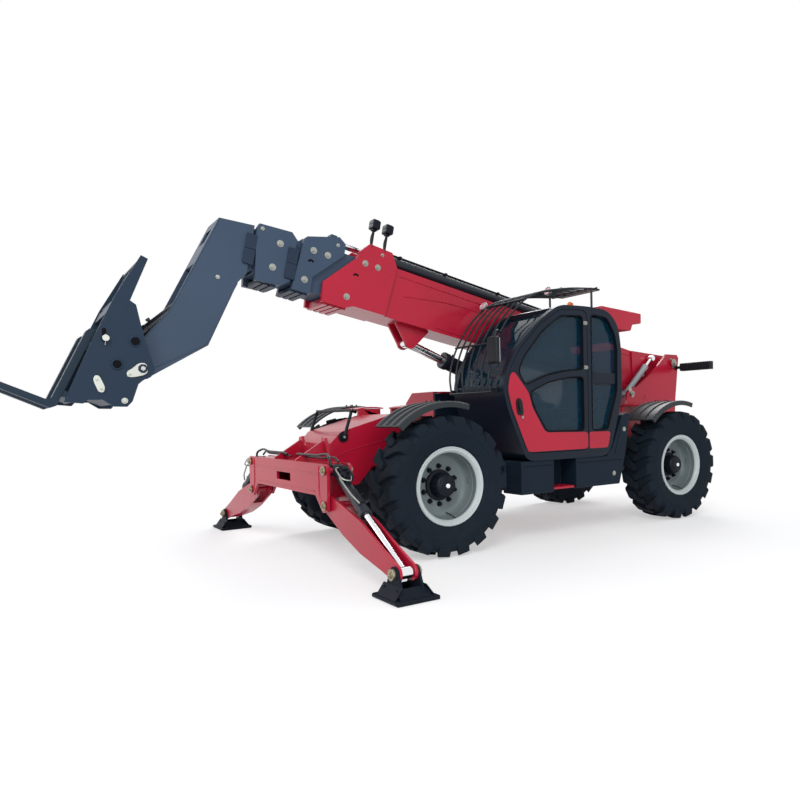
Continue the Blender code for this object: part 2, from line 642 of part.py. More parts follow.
def make_boom():
    outer, second, third, inner = (SECTIONS[key] for key in ("outer", "second", "third", "inner"))
    origin = (BOOM_PIVOT[0], 0, BOOM_PIVOT[1])

    tube = section(*outer)
    low = BOOM_BOTTOM
    head = [(4.0265, 0.03), (4.10, 0.156), (4.34, 0.165), (4.4385, 0.051), (4.4385, 0.006),
            (4.7315, -0.317), (4.7165, low - 0.038), (4.50, low - 0.040), (4.41, low - 0.001), (4.08, low)]
    tube = head_plates(tube, head, BOOM_HALF, BOOM_HALF + 0.035)
    tail = (arc((0, 0), 0.11, 200, 90, 5) + [(0.60, 0.035), (0.48, low + 0.002), (0.05, low + 0.002), (-0.06, -0.36)])
    tube = head_plates(tube, tail, BOOM_HALF, BOOM_HALF + 0.02)
    boss = FRAME_INNER - GAP
    tube = join(tube, cross_rod((0, 0), (-boss, boss), 0.085))
    tube = cut(tube, cross_rod((0, 0), (-0.4, 0.4), bore(BOOM_PIN)))
    tube = join(tube, cross_rod(COMP_PIN, (BOOM_HALF - 0.01, COMP_Y - COMP_EYE_HALF - 0.003), 0.035))
    lug = [(3.50, low + 0.008), (3.63, low - 0.172)] + arc(LIFT_PIN, 0.065, 215, 345, 4) + [(3.90, low + 0.008)]
    for piece in both_sides(lambda: prism(lug, (0.062, 0.087))):
        tube = join(tube, piece)
    for u in (1.10, 3.95):
        tube = join(tube, box((u, u + 0.08), (-0.05, 0.05), (BOOM_TOP - OVERLAP, RAM_V - 0.055 - GAP)))
    tube = pads(tube, outer, second, outer[1] - 0.12)
    for u in (4.18, 4.32):
        y = BOOM_HALF + 0.017
        tube = join(tube, rod((u, y, 0.15), (u, y, 0.33), 0.010))
        tube = join(tube, box((u - 0.03, u + 0.03), (y - 0.047, y + 0.043), (0.32, 0.40)))
    node(moved(tube, BOOM), "boom_outer", "red_paint", origin)

    tube = section(*second)
    head = [(4.5715, 0.084), (4.6395, 0.129), (4.9315, 0.035), (4.9565, 0.007), (4.9965, low - 0.005),
            (4.8265, low - 0.003), (4.8305, -0.308), (4.5685, -0.024)]
    tube = head_plates(tube, head, second[2], BOOM_HALF + 0.025)
    tube = join(tube, box((4.60, 4.66), (-0.045, 0.045), (0.0, 0.19)))
    tube = pads(tube, outer, second, second[0])
    tube = pads(tube, second, third, second[1] - 0.12)
    node(moved(tube, BOOM), "boom_second", "dark_paint", origin)

    tube = section(*third)
    head = [(5.0115, -0.023), (5.0665, 0.029), (5.3495, 0.008), (5.3665, -0.043), (5.3115, low - 0.019),
            (5.0935, low - 0.004), (5.0165, low + 0.055)]
    tube = head_plates(tube, head, third[2], BOOM_HALF + 0.010)
    tube = pads(tube, second, third, third[0])
    tube = pads(tube, third, inner, third[1] - 0.12)
    node(moved(tube, BOOM), "boom_third", "dark_paint", origin)

    make_gooseneck(third, inner, origin)
    make_extension_ram(origin)


def make_gooseneck(third, inner, origin):
    tip = arc(CARRIAGE_PIN, 0.085, 40, -125, 8)
    outline = [(5.38, -0.017), (5.670, -0.052), (5.910, -0.905), (6.054, -1.165)] + tip
    outline += [(5.579, -1.109), (5.469, -0.671), (5.435, BOOM_BOTTOM - 0.072), (5.38, BOOM_BOTTOM + 0.015)]
    half = BOOM_HALF - 0.013
    neck = prism(outline, (-half, half))
    hollow = [(5.42, -0.045), (5.645, -0.073), (5.765, -0.49), (5.82, -0.46), (6.30, -1.20),
              (6.15, -1.30), (5.98, -1.395), (5.600, -1.088), (5.490, -0.665), (5.455, -0.522), (5.42, -0.46)]
    neck = cut(neck, prism(hollow, (-half + 0.02, half - 0.02)))
    slot = [(5.60, -0.14), (5.75, -0.14), (5.80, -0.27), (5.62, -0.27)]
    neck = cut(neck, prism(slot, (-0.09, 0.09)))
    neck = join(neck, cross_rod(CARRIAGE_PIN, (-PLATE_Y[0] + GAP, PLATE_Y[0] - GAP), 0.07))
    neck = cut(neck, cross_rod(CARRIAGE_PIN, (-0.5, 0.5), bore(0.034)))
    neck = join(neck, cross_rod(TILT_PIN, (-half + 0.007, half - 0.007), TILT_BASE_PIN))
    for side in (-1, 1):
        collar = sorted((side * (TILT_EYE_HALF + GAP), side * (TILT_EYE_HALF + 0.02)))
        neck = join(neck, cross_rod(TILT_PIN, collar, 0.029))
    tube = join(section(*inner), neck)
    tube = pads(tube, third, inner, inner[0])
    node(moved(tube, BOOM), "boom_inner", "dark_paint", origin)


def make_extension_ram(origin):
    radius, stem = 0.055, 0.032
    start, front = 0.75, 4.30
    barrel = turned([(0, front), (radius, front), (radius, start), (0, start)])
    hollow = turned([(0, front - 0.05), (0.040, front - 0.05), (0.040, start + 0.05), (0, start + 0.05)])
    throat = turned([(0, front + 0.1), (stem + GAP, front + 0.1), (stem + GAP, front - 0.1), (0, front - 0.1)])
    barrel = cut(barrel, hollow, throat)
    piston = turned([(0, 4.60 - GAP), (stem, 4.60 - GAP), (stem, 0.97), (0.040 - GAP, 0.97),
                     (0.040 - GAP, 0.93), (0, 0.93)])
    lay = BOOM @ Matrix.Translation((0, 0, RAM_V)) @ Matrix.Rotation(math.radians(90), 4, "Y")
    node(moved(barrel, lay), "extension_barrel", "dark_paint", origin)
    node(moved(piston, lay), "extension_rod", "chrome", origin)


# Carriage side plate outline, in the carriage frame
CARRIAGE_OUTLINE = ([(0.29, 0.765), (0.342, 0.765), (0.372, 0.40), (0.372, 0.02), (0.352, -0.4325),
                     (0.242, -0.394), (0.233, -0.362), (0.147, -0.320), (0.06, -0.335), (-0.02, -0.30),
                     (-0.035, -0.25), (-0.02, -0.117)]
                    + arc((0, 0), 0.08, 240, 150, 5)
                    + [(0.07, 0.20), (0.2253, 0.4137), (0.2724, 0.4227)])


def make_carriage():
    low, high = PLATE_Y
    carriage = join(*both_sides(lambda: prism(CARRIAGE_OUTLINE, (low, high))))
    reach = low + OVERLAP
    # p low, p high, q low, q high
    bars = [
        (0.305, 0.325, 0.42, 0.755),
        (0.335, 0.362, 0.29, 0.37),
        (0.29, FORK_BACK - GAP, -0.40, -0.355),
        (0.06, 0.26, -0.315, -0.295),
    ]
    for p0, p1, q0, q1 in bars:
        carriage = join(carriage, box((p0, p1), (-reach, reach), (q0, q1)))
    carriage = join(carriage, cross_rod(FORK_SHAFT, (-0.44, 0.44), SHAFT_RADIUS))
    for side in (-1, 1):
        pin = sorted((side * 0.30, side * 0.425))
        carriage = join(carriage, cross_rod((0, 0), pin, 0.034))
        stub = sorted((side * 0.05, side * 0.42))
        carriage = join(carriage, cross_rod(TILT_EYE, stub, TILT_TIP_PIN))
    node(moved(carriage, CARRIAGE), "carriage", "dark_paint", (CARRIAGE_AT.x, 0, CARRIAGE_AT.z))

    back = FORK_BACK
    front = back + FORK_THICK
    tip = front + FORK_LENGTH
    outline = [(back, FORK_HEEL + 0.03), (back + 0.03, FORK_HEEL), (tip - 0.10, FORK_HEEL + 0.018),
               (tip, FORK_HEEL + 0.040), (tip, FORK_HEEL + 0.048), (front + 0.02, FORK_HEEL + 0.048),
               (front, FORK_HEEL + 0.07), (front, 0.10), (front - 0.02, 0.13), (back, 0.13)]
    for side, name in ((1, "fork_left"), (-1, "fork_right")):
        span = (side * FORK_Y - FORK_WIDTH / 2, side * FORK_Y + FORK_WIDTH / 2)
        fork = prism(outline, span)
        eye = (span[0] + 0.006, span[1] - 0.006)
        neck = (span[0] + 0.004, span[1] - 0.004)
        fork = join(fork, box((FORK_SHAFT[0], front - 0.01), neck, (0.058, 0.124)))
        fork = join(fork, cross_rod(FORK_SHAFT, eye, 0.055))
        fork = cut(fork, cross_rod(FORK_SHAFT, (-0.5, 0.5), SHAFT_RADIUS + GAP))
        node(moved(fork, CARRIAGE), name, "fork_steel", (CARRIAGE_AT.x, 0, CARRIAGE_AT.z))


def make_stabiliser(side, name):
    hinge, foot = Vector(LEG_HINGE), Vector(LEG_FOOT)
    reach = (foot - hinge).length
    lean = math.atan2(foot.y - hinge.y, foot.x - hinge.x)
    # s along the leg, t square to it
    outline = (arc((0, 0), 0.085, 110, 250, 6)
               + [(0.30, -0.115), (0.60, -0.115), (0.95, -0.075)]
               + arc((reach, 0), 0.062, -80, 80, 6)
               + [(0.92, 0.075), (0.55, 0.115), (0.20, 0.10)])
    pit = [(-0.2, -0.2), (0.16, -0.2), (0.20, -0.092), (0.60, -0.092), (0.93, -0.052), (reach - 0.10, -0.03),
           (reach - 0.09, -0.2), (reach + 0.2, -0.2), (reach + 0.2, 0.3), (-0.2, 0.3)]
    leg = prism(outline, (-LEG_HALF, LEG_HALF), "x")
    leg = cut(leg, prism(pit, (-LEG_HALF + 0.02, LEG_HALF - 0.02), "x"))
    leg = cut(leg, rod((-0.2, 0, 0), (0.2, 0, 0), bore(LEG_PIN)))
    leg = cut(leg, rod((-0.2, reach, 0), (0.2, reach, 0), bore(LEG_PIN)))
    lay = Matrix.Translation((LEG_X, hinge.x, hinge.y)) @ Matrix.Rotation(lean, 4, "X")
    moved(leg, lay)

    plate = 0.16
    base = box((LEG_X - plate, LEG_X + plate), (foot.x - 0.176, foot.x + 0.185), (0, 0.025))
    lug = [(foot.x - 0.13, 0.02), (foot.x + 0.13, 0.02), (foot.x + 0.05, foot.y + 0.03),
           (foot.x + 0.02, foot.y + 0.05), (foot.x - 0.02, foot.y + 0.05), (foot.x - 0.05, foot.y + 0.03)]
    for place in (-1, 1):
        inner, outer = LEG_HALF + GAP, LEG_HALF + 0.02
        span = sorted((LEG_X + place * inner, LEG_X + place * outer))
        base = join(base, prism(lug, span, "x"))
        stub = sorted((LEG_X + place * (LEG_HALF - 0.018), LEG_X + place * (outer + 0.015)))
        base = join(base, rod((stub[0], foot.x, foot.y), (stub[1], foot.x, foot.y), LEG_PIN))

    if side < 0:
        mirrored(leg)
        mirrored(base)
    node(leg, "leg_" + name, "red_paint", (LEG_X, side * hinge.x, hinge.y))
    node(base, "foot_" + name, "dark_paint", (LEG_X, side * foot.x, foot.y))
    ram((LEG_X, side * LEG_RAM[0], LEG_RAM[1]), (LEG_X, side * LEG_FOOT[0], LEG_FOOT[1]), (1, 0, 0),
        (0.043, 0.026, 0.60, 0.465, 0.048, 0.042, 0.044, LEG_PIN, LEG_PIN), "stabiliser_" + name, "dark_paint")


DOOR_OUTLINE = [(-0.105, 0.86), (0.70, 0.86), (0.895, 1.28), (0.945, 1.46), (0.912, 1.62), (0.80, 1.815),
                (0.53, 2.08), (0.26, 2.248), (-0.105, 2.262)]
UPPER_PANE = [(-0.045, 1.665), (0.15, 1.655), (0.45, 1.60), (0.72, 1.50), (0.80, 1.63), (0.73, 1.77),
              (0.50, 2.02), (0.25, 2.19), (-0.045, 2.205)]
LOWER_PANE = [(-0.045, 1.05), (0.46, 1.06), (0.62, 1.30), (0.665, 1.435), (0.42, 1.535), (0.15, 1.585),
              (-0.045, 1.595)]
REAR_PANE = [(-0.165, 1.05), (-0.39, 1.05), (-0.535, 1.45), (-0.545, 1.90), (-0.51, 2.05), (-0.40, 2.21),
             (-0.165, 2.23)]
RIGHT_PANE = [(-0.42, 1.20), (0.62, 1.20), (0.80, 1.52), (0.76, 1.76), (0.50, 2.04), (0.25, 2.20),
              (-0.40, 2.20), (-0.52, 2.05), (-0.53, 1.45)]


def grown(outline, margin):
    """An outline made larger on every side; anticlockwise outlines grow with a positive margin."""
    return inset(outline, -margin)


def anticlockwise(outline):
    area = sum(a[0] * b[1] - b[0] * a[1] for a, b in zip(outline, outline[1:] + outline[:1]))
    return outline if area > 0 else outline[::-1]


def make_cab():
    low, high = CAB_Y
    skin = anticlockwise(CAB_OUTLINE)
    room = inset(skin, CAB_WALL)
    shell = prism(skin, CAB_Y)
    shell = cut(shell, prism(room, (low + CAB_WALL, high - CAB_WALL)))
    doorway = grown(anticlockwise(DOOR_OUTLINE), RUN)
    shell = cut(shell, prism(doorway, (high - 0.1, high + 0.1)))
    shell = cut(shell, prism(REAR_PANE, (high - 0.1, high + 0.1)))
    shell = cut(shell, prism(RIGHT_PANE, (low - 0.1, low + 0.1)))
    view = (low + CAB_WALL + 0.025, high - CAB_WALL - 0.025)
    front = [(0.80, 1.50), (1.20, 1.50), (1.20, 2.60), (0.30, 2.60), (0.30, 2.20), (0.50, 1.95)]
    shell = cut(shell, prism(front, view))
    shell = cut(shell, box((-0.34, 0.22), view, (2.2, 2.4)))
    shell = cut(shell, box((-0.75, -0.5), view, (1.45, 1.98)))
    node(shell, "cab_shell", "dark_paint")

    behind = inset(skin, CAB_WALL + GAP)
    deeper = inset(skin, CAB_WALL + GAP + GLASS)
    span = (low + CAB_WALL + GAP, high - CAB_WALL - GAP)
    front_line = [behind[index] for index in range(2, 9)]
    back_line = [deeper[index] for index in range(2, 9)]
    screen = prism(front_line + back_line[::-1], span)
    node(screen, "cab_windscreen", "glass")
    pane = anticlockwise(REAR_PANE)
    side = prism(grown(pane, 0.012), (high - CAB_WALL - GAP - GLASS - 0.001, high - CAB_WALL - GAP))
    node(side, "cab_glass_quarter", "glass")
    side = prism(RIGHT_PANE, (low + CAB_WALL + GAP, low + CAB_WALL + GAP + GLASS))
    node(side, "cab_glass_right", "glass")
    back = prism([behind[10], behind[11], deeper[11], deeper[10]], (low + 0.06, high - 0.06))
    node(back, "cab_glass_rear", "glass")

    door = prism(DOOR_OUTLINE, (high - CAB_WALL, high))
    door = cut(door, prism(UPPER_PANE, (high - 0.1, high + 0.1)), prism(LOWER_PANE, (high - 0.1, high + 0.1)))
    hinge = (-0.105, high, 0)
    node(door, "cab_door", "dark_paint", hinge)
    pane = [(-0.075, 1.02), (0.48, 1.02), (0.66, 1.28), (0.83, 1.62), (0.76, 1.79), (0.52, 2.05),
            (0.26, 2.215), (-0.075, 2.232)]
    glass = prism(pane, (high - CAB_WALL - GAP - GLASS, high - CAB_WALL - GAP))
    node(glass, "door_glass", "glass", hinge)


def make_cab_inside():
    floor = 0.78 + CAB_WALL + GAP
    mat = box((-0.30, 0.65), (0.36, 1.0), (floor, floor + 0.02))
    plinth = box((-0.28, 0.10), (0.45, 0.92), (floor + 0.01, 1.16))
    seat = box((-0.40, 0.14), (0.44, 0.92), (1.15, 1.28))
    back = prism([(-0.46, 1.20), (-0.32, 1.20), (-0.40, 1.86), (-0.50, 1.86)], (0.46, 0.90))
    column = rod((0.62, 0.68, floor + 0.01), (0.50, 0.68, 1.42), 0.05, 10)
    dash = prism([(0.56, 1.20), (0.84, 1.30), (0.84, 1.42), (0.60, 1.40)], (0.40, 0.98))
    wheel = moved(turned([(0.19, -0.014), (0.155, -0.014), (0.155, 0.014), (0.19, 0.014)], 20, ring=True),
                  Matrix.Translation((0.475, 0.68, 1.50)) @ Matrix.Rotation(math.radians(-32), 4, "Y"))
    hub = rod((0.52, 0.68, 1.36), (0.475, 0.68, 1.50), 0.03, 10)
    spoke = moved(box((-0.02, 0.02), (-0.17, 0.17), (-0.01, 0.01)),
                  Matrix.Translation((0.475, 0.68, 1.50)) @ Matrix.Rotation(math.radians(-32), 4, "Y"))
    inside = join(mat, plinth, seat, back, column, dash, hub, spoke, wheel)
    node(inside, "cab_interior", "black_plastic")


def make_guard():
    """Bent bars before the windscreen and over the roof, with the mirror, beacon and work lamp."""
    profile = [(1.045, 1.44), (1.07, 1.62), (1.00, 1.86), (0.82, 2.14), (0.62, 2.33), (0.40, 2.43),
               (0.0, 2.50), (-0.36, 2.53)]
    rails = [0.33, 0.49, 0.65, 0.81, 0.97]
    guard = None
    for y in rails:
        bar = pipe([(x, y, z) for x, z in profile], 0.011)
        guard = bar if guard is None else join(guard, bar)
    for index in (0, 4, 7):
        x, z = profile[index]
        guard = join(guard, pipe([(x, rails[0] - 0.02, z), (x, rails[-1] + 0.02, z)], 0.013))
    for y in (rails[0], rails[-1]):
        guard = join(guard, pipe([(1.045, y, 1.47), (0.985 + GAP, y, 1.46)], 0.012))
        guard = join(guard, pipe([(-0.30, y, 2.525), (-0.30, y, 2.307 + GAP)], 0.012))
    mirror = box((1.06, 1.12), (1.02, 1.16), (1.69, 1.93))
    # height on the outer rail, the rail's x there
    for z, x in ((1.90, 0.974), (2.00, 0.910)):
        guard = join(guard, pipe([(x, rails[-1], z), (1.05, 1.09, z), (1.09, 1.09, 1.90)], 0.010))
    guard = join(guard, mirror)
    node(guard, "cab_guard", "black_plastic")
    lamp = rod((-0.38, 0.57, 2.293), (-0.38, 0.57, 2.45), 0.035)
    node(lamp, "beacon", "amber_plastic")


def make_visor():
    """The roof overhang behind the cab with its work lamp beneath."""
    corner, back = (Vector(CAB_OUTLINE[index]) + Vector((-GAP, GAP)) for index in (8, 9))
    outline = [tuple(corner), (-0.44, 2.36), (-1.07, 2.32), (-1.07, 2.21), (-0.93, 2.19), (-0.90, 2.12),
               (-0.72, 2.12), tuple(back)]
    visor = prism(outline, (0.45, 0.98))
    node(visor, "cab_visor", "red_paint")


def make_skirt():
    skirt = box((-0.57, 0.80), (0.60, 0.85), (0.50, 0.7797))
    skirt = join(skirt, box((0.365, 0.78), (0.80, 1.08), (0.465, 0.7797)))
    rear = [(0.067, 0.476), (0.067, 0.7797), (-0.38, 0.7797), (-0.46, 0.86), (-0.62, 1.20),
            (-0.70, 1.23), (-0.746, 1.20), (-0.66, 0.77), (-0.57, 0.476)]
    skirt = join(skirt, prism(rear, (0.80, 1.08)))
    node(skirt, "cab_skirt", "dark_paint")
    step = box((0.0753, 0.3567), (0.8503, 1.06), (0.485, 0.505))
    node(step, "cab_step", "red_paint")


# Engine pod on the right: (x, z) outline of its lower part, y as distances from the centre plane
POD_X = (-0.78, 0.78)
POD_Y = (FRAME_OUTER + 0.035, 1.05)
POD_TOP = 1.15
HOOD_TOP = 1.50
LOUVRES = 5
LOUVRE_START = -0.62
LOUVRE_PITCH = 0.13
LOUVRE_WIDTH = 0.05
LOUVRE_Z = (1.20, 1.33)


def make_pod():
    near, far = POD_Y
    wall = 0.03
    pod = box(POD_X, (-far, -near), (BELLY_Z, POD_TOP))
    pod = join(pod, box(POD_X, (-near - wall, -near), (POD_TOP - 0.05, HOOD_TOP - 0.02)))
    room = box((POD_X[0] + wall, POD_X[1] - wall), (-far + wall, -near - wall), (BELLY_Z + wall, 2))
    pod = cut(pod, room)
    node(pod, "engine_pod", "dark_paint")
    block = box((-0.55, 0.35), (-0.96, -0.50), (BELLY_Z + wall + GAP, 1.28))
    node(block, "engine_block", "engine_grey")

    inner = near + wall + RUN
    floor = POD_TOP + GAP
    shape = [(-inner, HOOD_TOP), (-0.90, HOOD_TOP), (-far, 1.38), (-far, floor), (-inner, floor)]
    hood = prism(shape, POD_X, "x")
    hollow = [(-inner + 0.1, HOOD_TOP - wall), (-0.89, HOOD_TOP - wall), (-far + wall, 1.37),
              (-far + wall, 1.0), (-inner + 0.1, 1.0)]
    hood = cut(hood, prism(hollow, (POD_X[0] + wall, POD_X[1] - wall), "x"))
    for index in range(LOUVRES):
        x = LOUVRE_START + LOUVRE_PITCH * index
        hood = cut(hood, box((x, x + LOUVRE_WIDTH), (-far - 0.1, -far + wall + 0.01), LOUVRE_Z))
    lip = box((-0.70, 0.70), (-inner - 0.02, -near), (HOOD_TOP - 0.0197, HOOD_TOP))
    hood = join(hood, lip)
    node(hood, "engine_hood", "red_paint", (0, -near, HOOD_TOP))


def make_rear_lamp():
    x, z = BOOM_PIVOT[0] - 0.08, BOOM_PIVOT[1] - 0.06
    arm = rod((x, FRAME_OUTER + GAP, z), (x, FRAME_OUTER + 0.095, z), 0.018)
    near = FRAME_OUTER + 0.085
    arm = join(arm, box((x - 0.04, x + 0.04), (near, near + 0.46), (z - 0.05, z + 0.05)))
    node(arm, "rear_lamp_bar", "black_plastic")


def make_rams():
    lift_tip = on_boom(LIFT_PIN)
    ram((LIFT_BASE[0], 0, LIFT_BASE[1]), (lift_tip[0], 0, lift_tip[1]), (0, 1, 0),
        (0.080, 0.045, 2.90, 0.40, 0.080, 0.05, LIFT_EYE_HALF, LIFT_BASE_PIN, LIFT_TIP_PIN), "lift", "dark_paint")
    comp_tip = on_boom(COMP_PIN)
    ram((COMP_BASE[0], COMP_Y, COMP_BASE[1]), (comp_tip[0], COMP_Y, comp_tip[1]), (0, 1, 0),
        (0.036, 0.020, 0.53, 0.14, 0.042, 0.034, COMP_EYE_HALF, COMP_BASE_PIN, COMP_TIP_PIN), "compensation", "silver_paint")
    tilt_base, tilt_tip = on_boom(TILT_PIN), on_carriage(TILT_EYE)
    ram((tilt_base[0], 0, tilt_base[1]), (tilt_tip[0], 0, tilt_tip[1]), (0, 1, 0),
        (0.046, 0.026, 0.74, 0.12, 0.05, 0.04, TILT_EYE_HALF, TILT_BASE_PIN, TILT_TIP_PIN), "tilt", "dark_paint")


def fork_tip_x():
    tip = FORK_BACK + FORK_THICK + FORK_LENGTH
    return max(on_carriage((tip, FORK_HEEL + rise))[0] for rise in (0.040, 0.048))


def main():
    global PARTS, ROOT
    for old in list(bpy.data.objects):
        bpy.data.objects.remove(old)
    PARTS = collection("telehandler")
    ROOT = bpy.data.objects.new("machine_centre", None)
    PARTS.objects.link(ROOT)

    make_frame()
    make_beam()
    corners = [("front_left", AXLE_X, 1), ("front_right", AXLE_X, -1),
               ("rear_left", -AXLE_X, 1), ("rear_right", -AXLE_X, -1)]
    make_axle(AXLE_X, "front_axle")
    make_axle(-AXLE_X, "rear_axle")
    for name, x, side in corners:
        make_knuckle(x, side, "knuckle_" + name)
        make_wheel(x, side, name)
        make_fender(x, side, "fender_" + name)
    make_boom()
    make_carriage()
    make_rams()
    for side, name in ((1, "left"), (-1, "right")):
        make_stabiliser(side, name)
    make_cab()
    make_cab_inside()
    make_guard()
    make_visor()
    make_skirt()
    make_pod()
    make_rear_lamp()
    ROOT.location.x = -(REAR_FACE + fork_tip_x()) / 2


main()
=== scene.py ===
"""Looks for a telehandler: paint, rubber, glass and the small parts that the frame leaves out."""
import json
import math

import bpy
from bpy.props import (FloatProperty, FloatVectorProperty, IntProperty, PointerProperty)
from mathutils import Matrix, Vector


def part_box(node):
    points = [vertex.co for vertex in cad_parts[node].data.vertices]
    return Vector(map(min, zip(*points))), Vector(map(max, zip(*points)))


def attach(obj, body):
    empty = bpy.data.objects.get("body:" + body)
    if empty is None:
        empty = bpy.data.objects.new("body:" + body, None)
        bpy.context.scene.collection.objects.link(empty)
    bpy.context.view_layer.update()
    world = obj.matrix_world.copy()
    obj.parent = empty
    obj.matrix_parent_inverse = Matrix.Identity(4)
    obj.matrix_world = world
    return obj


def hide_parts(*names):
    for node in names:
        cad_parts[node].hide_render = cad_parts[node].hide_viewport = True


bl_info = {
    "name": "Telehandler looks",
    "version": (1, 0, 0),
    "blender": (4, 5, 0),
    "location": "3D View > Sidebar > Telehandler",
    "description": "Dresses the frame of a telehandler with its finishes and small parts",
    "category": "Object",
}

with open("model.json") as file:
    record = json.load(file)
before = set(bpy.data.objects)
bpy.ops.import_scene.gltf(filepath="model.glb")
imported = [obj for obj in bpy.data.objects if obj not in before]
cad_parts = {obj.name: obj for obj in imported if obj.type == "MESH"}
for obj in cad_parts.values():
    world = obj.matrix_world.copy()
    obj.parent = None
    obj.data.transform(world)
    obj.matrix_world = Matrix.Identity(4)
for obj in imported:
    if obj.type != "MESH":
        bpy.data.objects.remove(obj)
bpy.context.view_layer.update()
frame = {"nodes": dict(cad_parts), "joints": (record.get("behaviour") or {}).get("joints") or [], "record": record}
JOINTS = {joint["name"]: joint for joint in frame["joints"]}
BODY_OF = {node: body for body, nodes in frame["record"]["behaviour"]["bodies"].items()
    for node in nodes}
SLOT_OF = {part["node"]: part["material_slot"] for part in frame["record"]["subparts"]}


def pivot(name):
    return Vector(JOINTS[name]["pos_m"])


shift = Matrix.Translation


def turned(degrees, axis):
    return Matrix.Rotation(math.radians(degrees), 4, axis)


# The middle of the wheelbase on the ground, from which lengths forward are counted
MIDDLE = (pivot("roll_front_left").x + pivot("roll_rear_left").x) / 2
AXLE_HEIGHT = pivot("roll_front_left").z
CORNERS = ("front_left", "front_right", "rear_left", "rear_right")
BOOM_RISE = 11
CARRIAGE_RISE = 24.8
# Edges that turn by more than this many degrees are rounded and stay sharp in the shading
EDGE_ANGLE = 38


def hinged_frame(place, rise):
    """Axes at a pivot: the first leans up by the rise, the second is Y, the third square to them."""
    return shift(place) @ turned(-rise, "Y")


BOOM = hinged_frame(pivot("boom_lift"), BOOM_RISE)
CARRIAGE = hinged_frame(pivot("carriage_tilt"), CARRIAGE_RISE)
MACHINE = shift((MIDDLE, 0, 0))
MIRROR = Matrix.Scale(-1, 4, (0, 1, 0))
STILL = Matrix.Identity(4)


def hand_of(name):
    """The models are of the left side, and those of the right side are mirrored."""
    return STILL if name.endswith("left") else MIRROR


# Selection and modifiers

def rest():
    if bpy.context.mode != "OBJECT":
        bpy.ops.object.mode_set(mode="OBJECT")
    bpy.ops.object.select_all(action="DESELECT")


def hold(piece):
    rest()
    piece.select_set(True)
    bpy.context.view_layer.objects.active = piece
    return piece


def edit_all(piece):
    hold(piece)
    bpy.ops.object.mode_set(mode="EDIT")
    bpy.ops.mesh.select_all(action="SELECT")


def modify(piece, kind, **values):
    hold(piece)
    modifier = piece.modifiers.new(kind.title(), kind)
    for key, value in values.items():
        setattr(modifier, key, value)
    bpy.ops.object.modifier_apply(modifier=modifier.name)
    return piece


def soften(piece, width, segments=2, angle=EDGE_ANGLE):
    """Rounds the edges that turn by more than an angle."""
    return modify(piece, "BEVEL", width=width, segments=segments, limit_method="ANGLE",
        angle_limit=math.radians(angle), use_clamp_overlap=True)


def smooth(piece, angle=EDGE_ANGLE):
    hold(piece)
    bpy.ops.object.shade_smooth_by_angle(angle=math.radians(angle))
    return piece


def settle(piece):
    hold(piece)
    bpy.ops.object.transform_apply(location=True, rotation=True, scale=True)
    return piece


def lay(piece, matrix):
    piece.data.transform(matrix)
    if matrix.determinant() < 0:
        piece.data.flip_normals()
    return piece


def weld(piece, distance=0.00002, outward=True):
    edit_all(piece)
    bpy.ops.mesh.remove_doubles(threshold=distance)
    if outward:
        bpy.ops.mesh.normals_make_consistent(inside=False)
    rest()
    return piece


# Shapes

def block(low, high, width=0.0, segments=2):
    low, high = Vector(low), Vector(high)
    rest()
    bpy.ops.mesh.primitive_cube_add(size=1, location=(low + high) / 2)
    piece = bpy.context.object
    piece.scale = high - low
    settle(piece)
    if width:
        soften(piece, width, segments)
    return piece


def bar(start, end, radius, sides=32, width=0.0, end_radius=None):
    """A round bar, or a cone when it has an end radius."""
    start, end = Vector(start), Vector(end)
    rest()
    turn = (end - start).to_track_quat("Z", "Y").to_euler()
    bpy.ops.mesh.primitive_cone_add(vertices=sides, radius1=radius,
        radius2=radius if end_radius is None else end_radius, depth=(end - start).length,
        location=(start + end) / 2, rotation=turn)
    piece = settle(bpy.context.object)
    if width:
        soften(piece, width, 2, 50)
    return piece


def from_curve(points, cyclic=False, flat=False, depth=0.0, radius=0.0, sides=3):
    """A poly line made a mesh: a bare line, a tube with a radius or a flat plate with a depth."""
    data = bpy.data.curves.new("line", "CURVE")
    data.dimensions = "2D" if flat else "3D"
    data.fill_mode = "BOTH" if flat else "FULL"
    data.extrude = depth / 2
    data.bevel_depth = radius
    data.bevel_resolution = sides
    data.use_fill_caps = radius > 0
    line = data.splines.new("POLY")
    line.points.add(len(points) - 1)
    for point, place in zip(line.points, points):
        point.co = (place[0], place[1], place[2] if len(place) > 2 else 0, 1)
    line.use_cyclic_u = cyclic
    piece = bpy.data.objects.new("line", data)
    bpy.context.scene.collection.objects.link(piece)
    hold(piece)
    bpy.ops.object.convert(target="MESH")
    return bpy.context.object


PLANES = {
    "x": Matrix(((0, 0, 1, 0), (1, 0, 0, 0), (0, 1, 0, 0), (0, 0, 0, 1))),
    "y": Matrix(((1, 0, 0, 0), (0, 0, -1, 0), (0, 1, 0, 0), (0, 0, 0, 1))),
    "z": Matrix.Identity(4),
}


def plate(outline, span, axis="y", width=0.0, segments=2):
    """A flat outline made thick along an axis, as (x, z) for y, (y, z) for x, (x, y) for z."""
    low, high = sorted(span)
    piece = weld(from_curve(outline, cyclic=True, flat=True, depth=high - low))
    middle = [(low + high) / 2 if name == axis else 0 for name in "xyz"]
    lay(piece, shift(middle) @ PLANES[axis])
    if width:
        soften(piece, width, segments)
    return piece


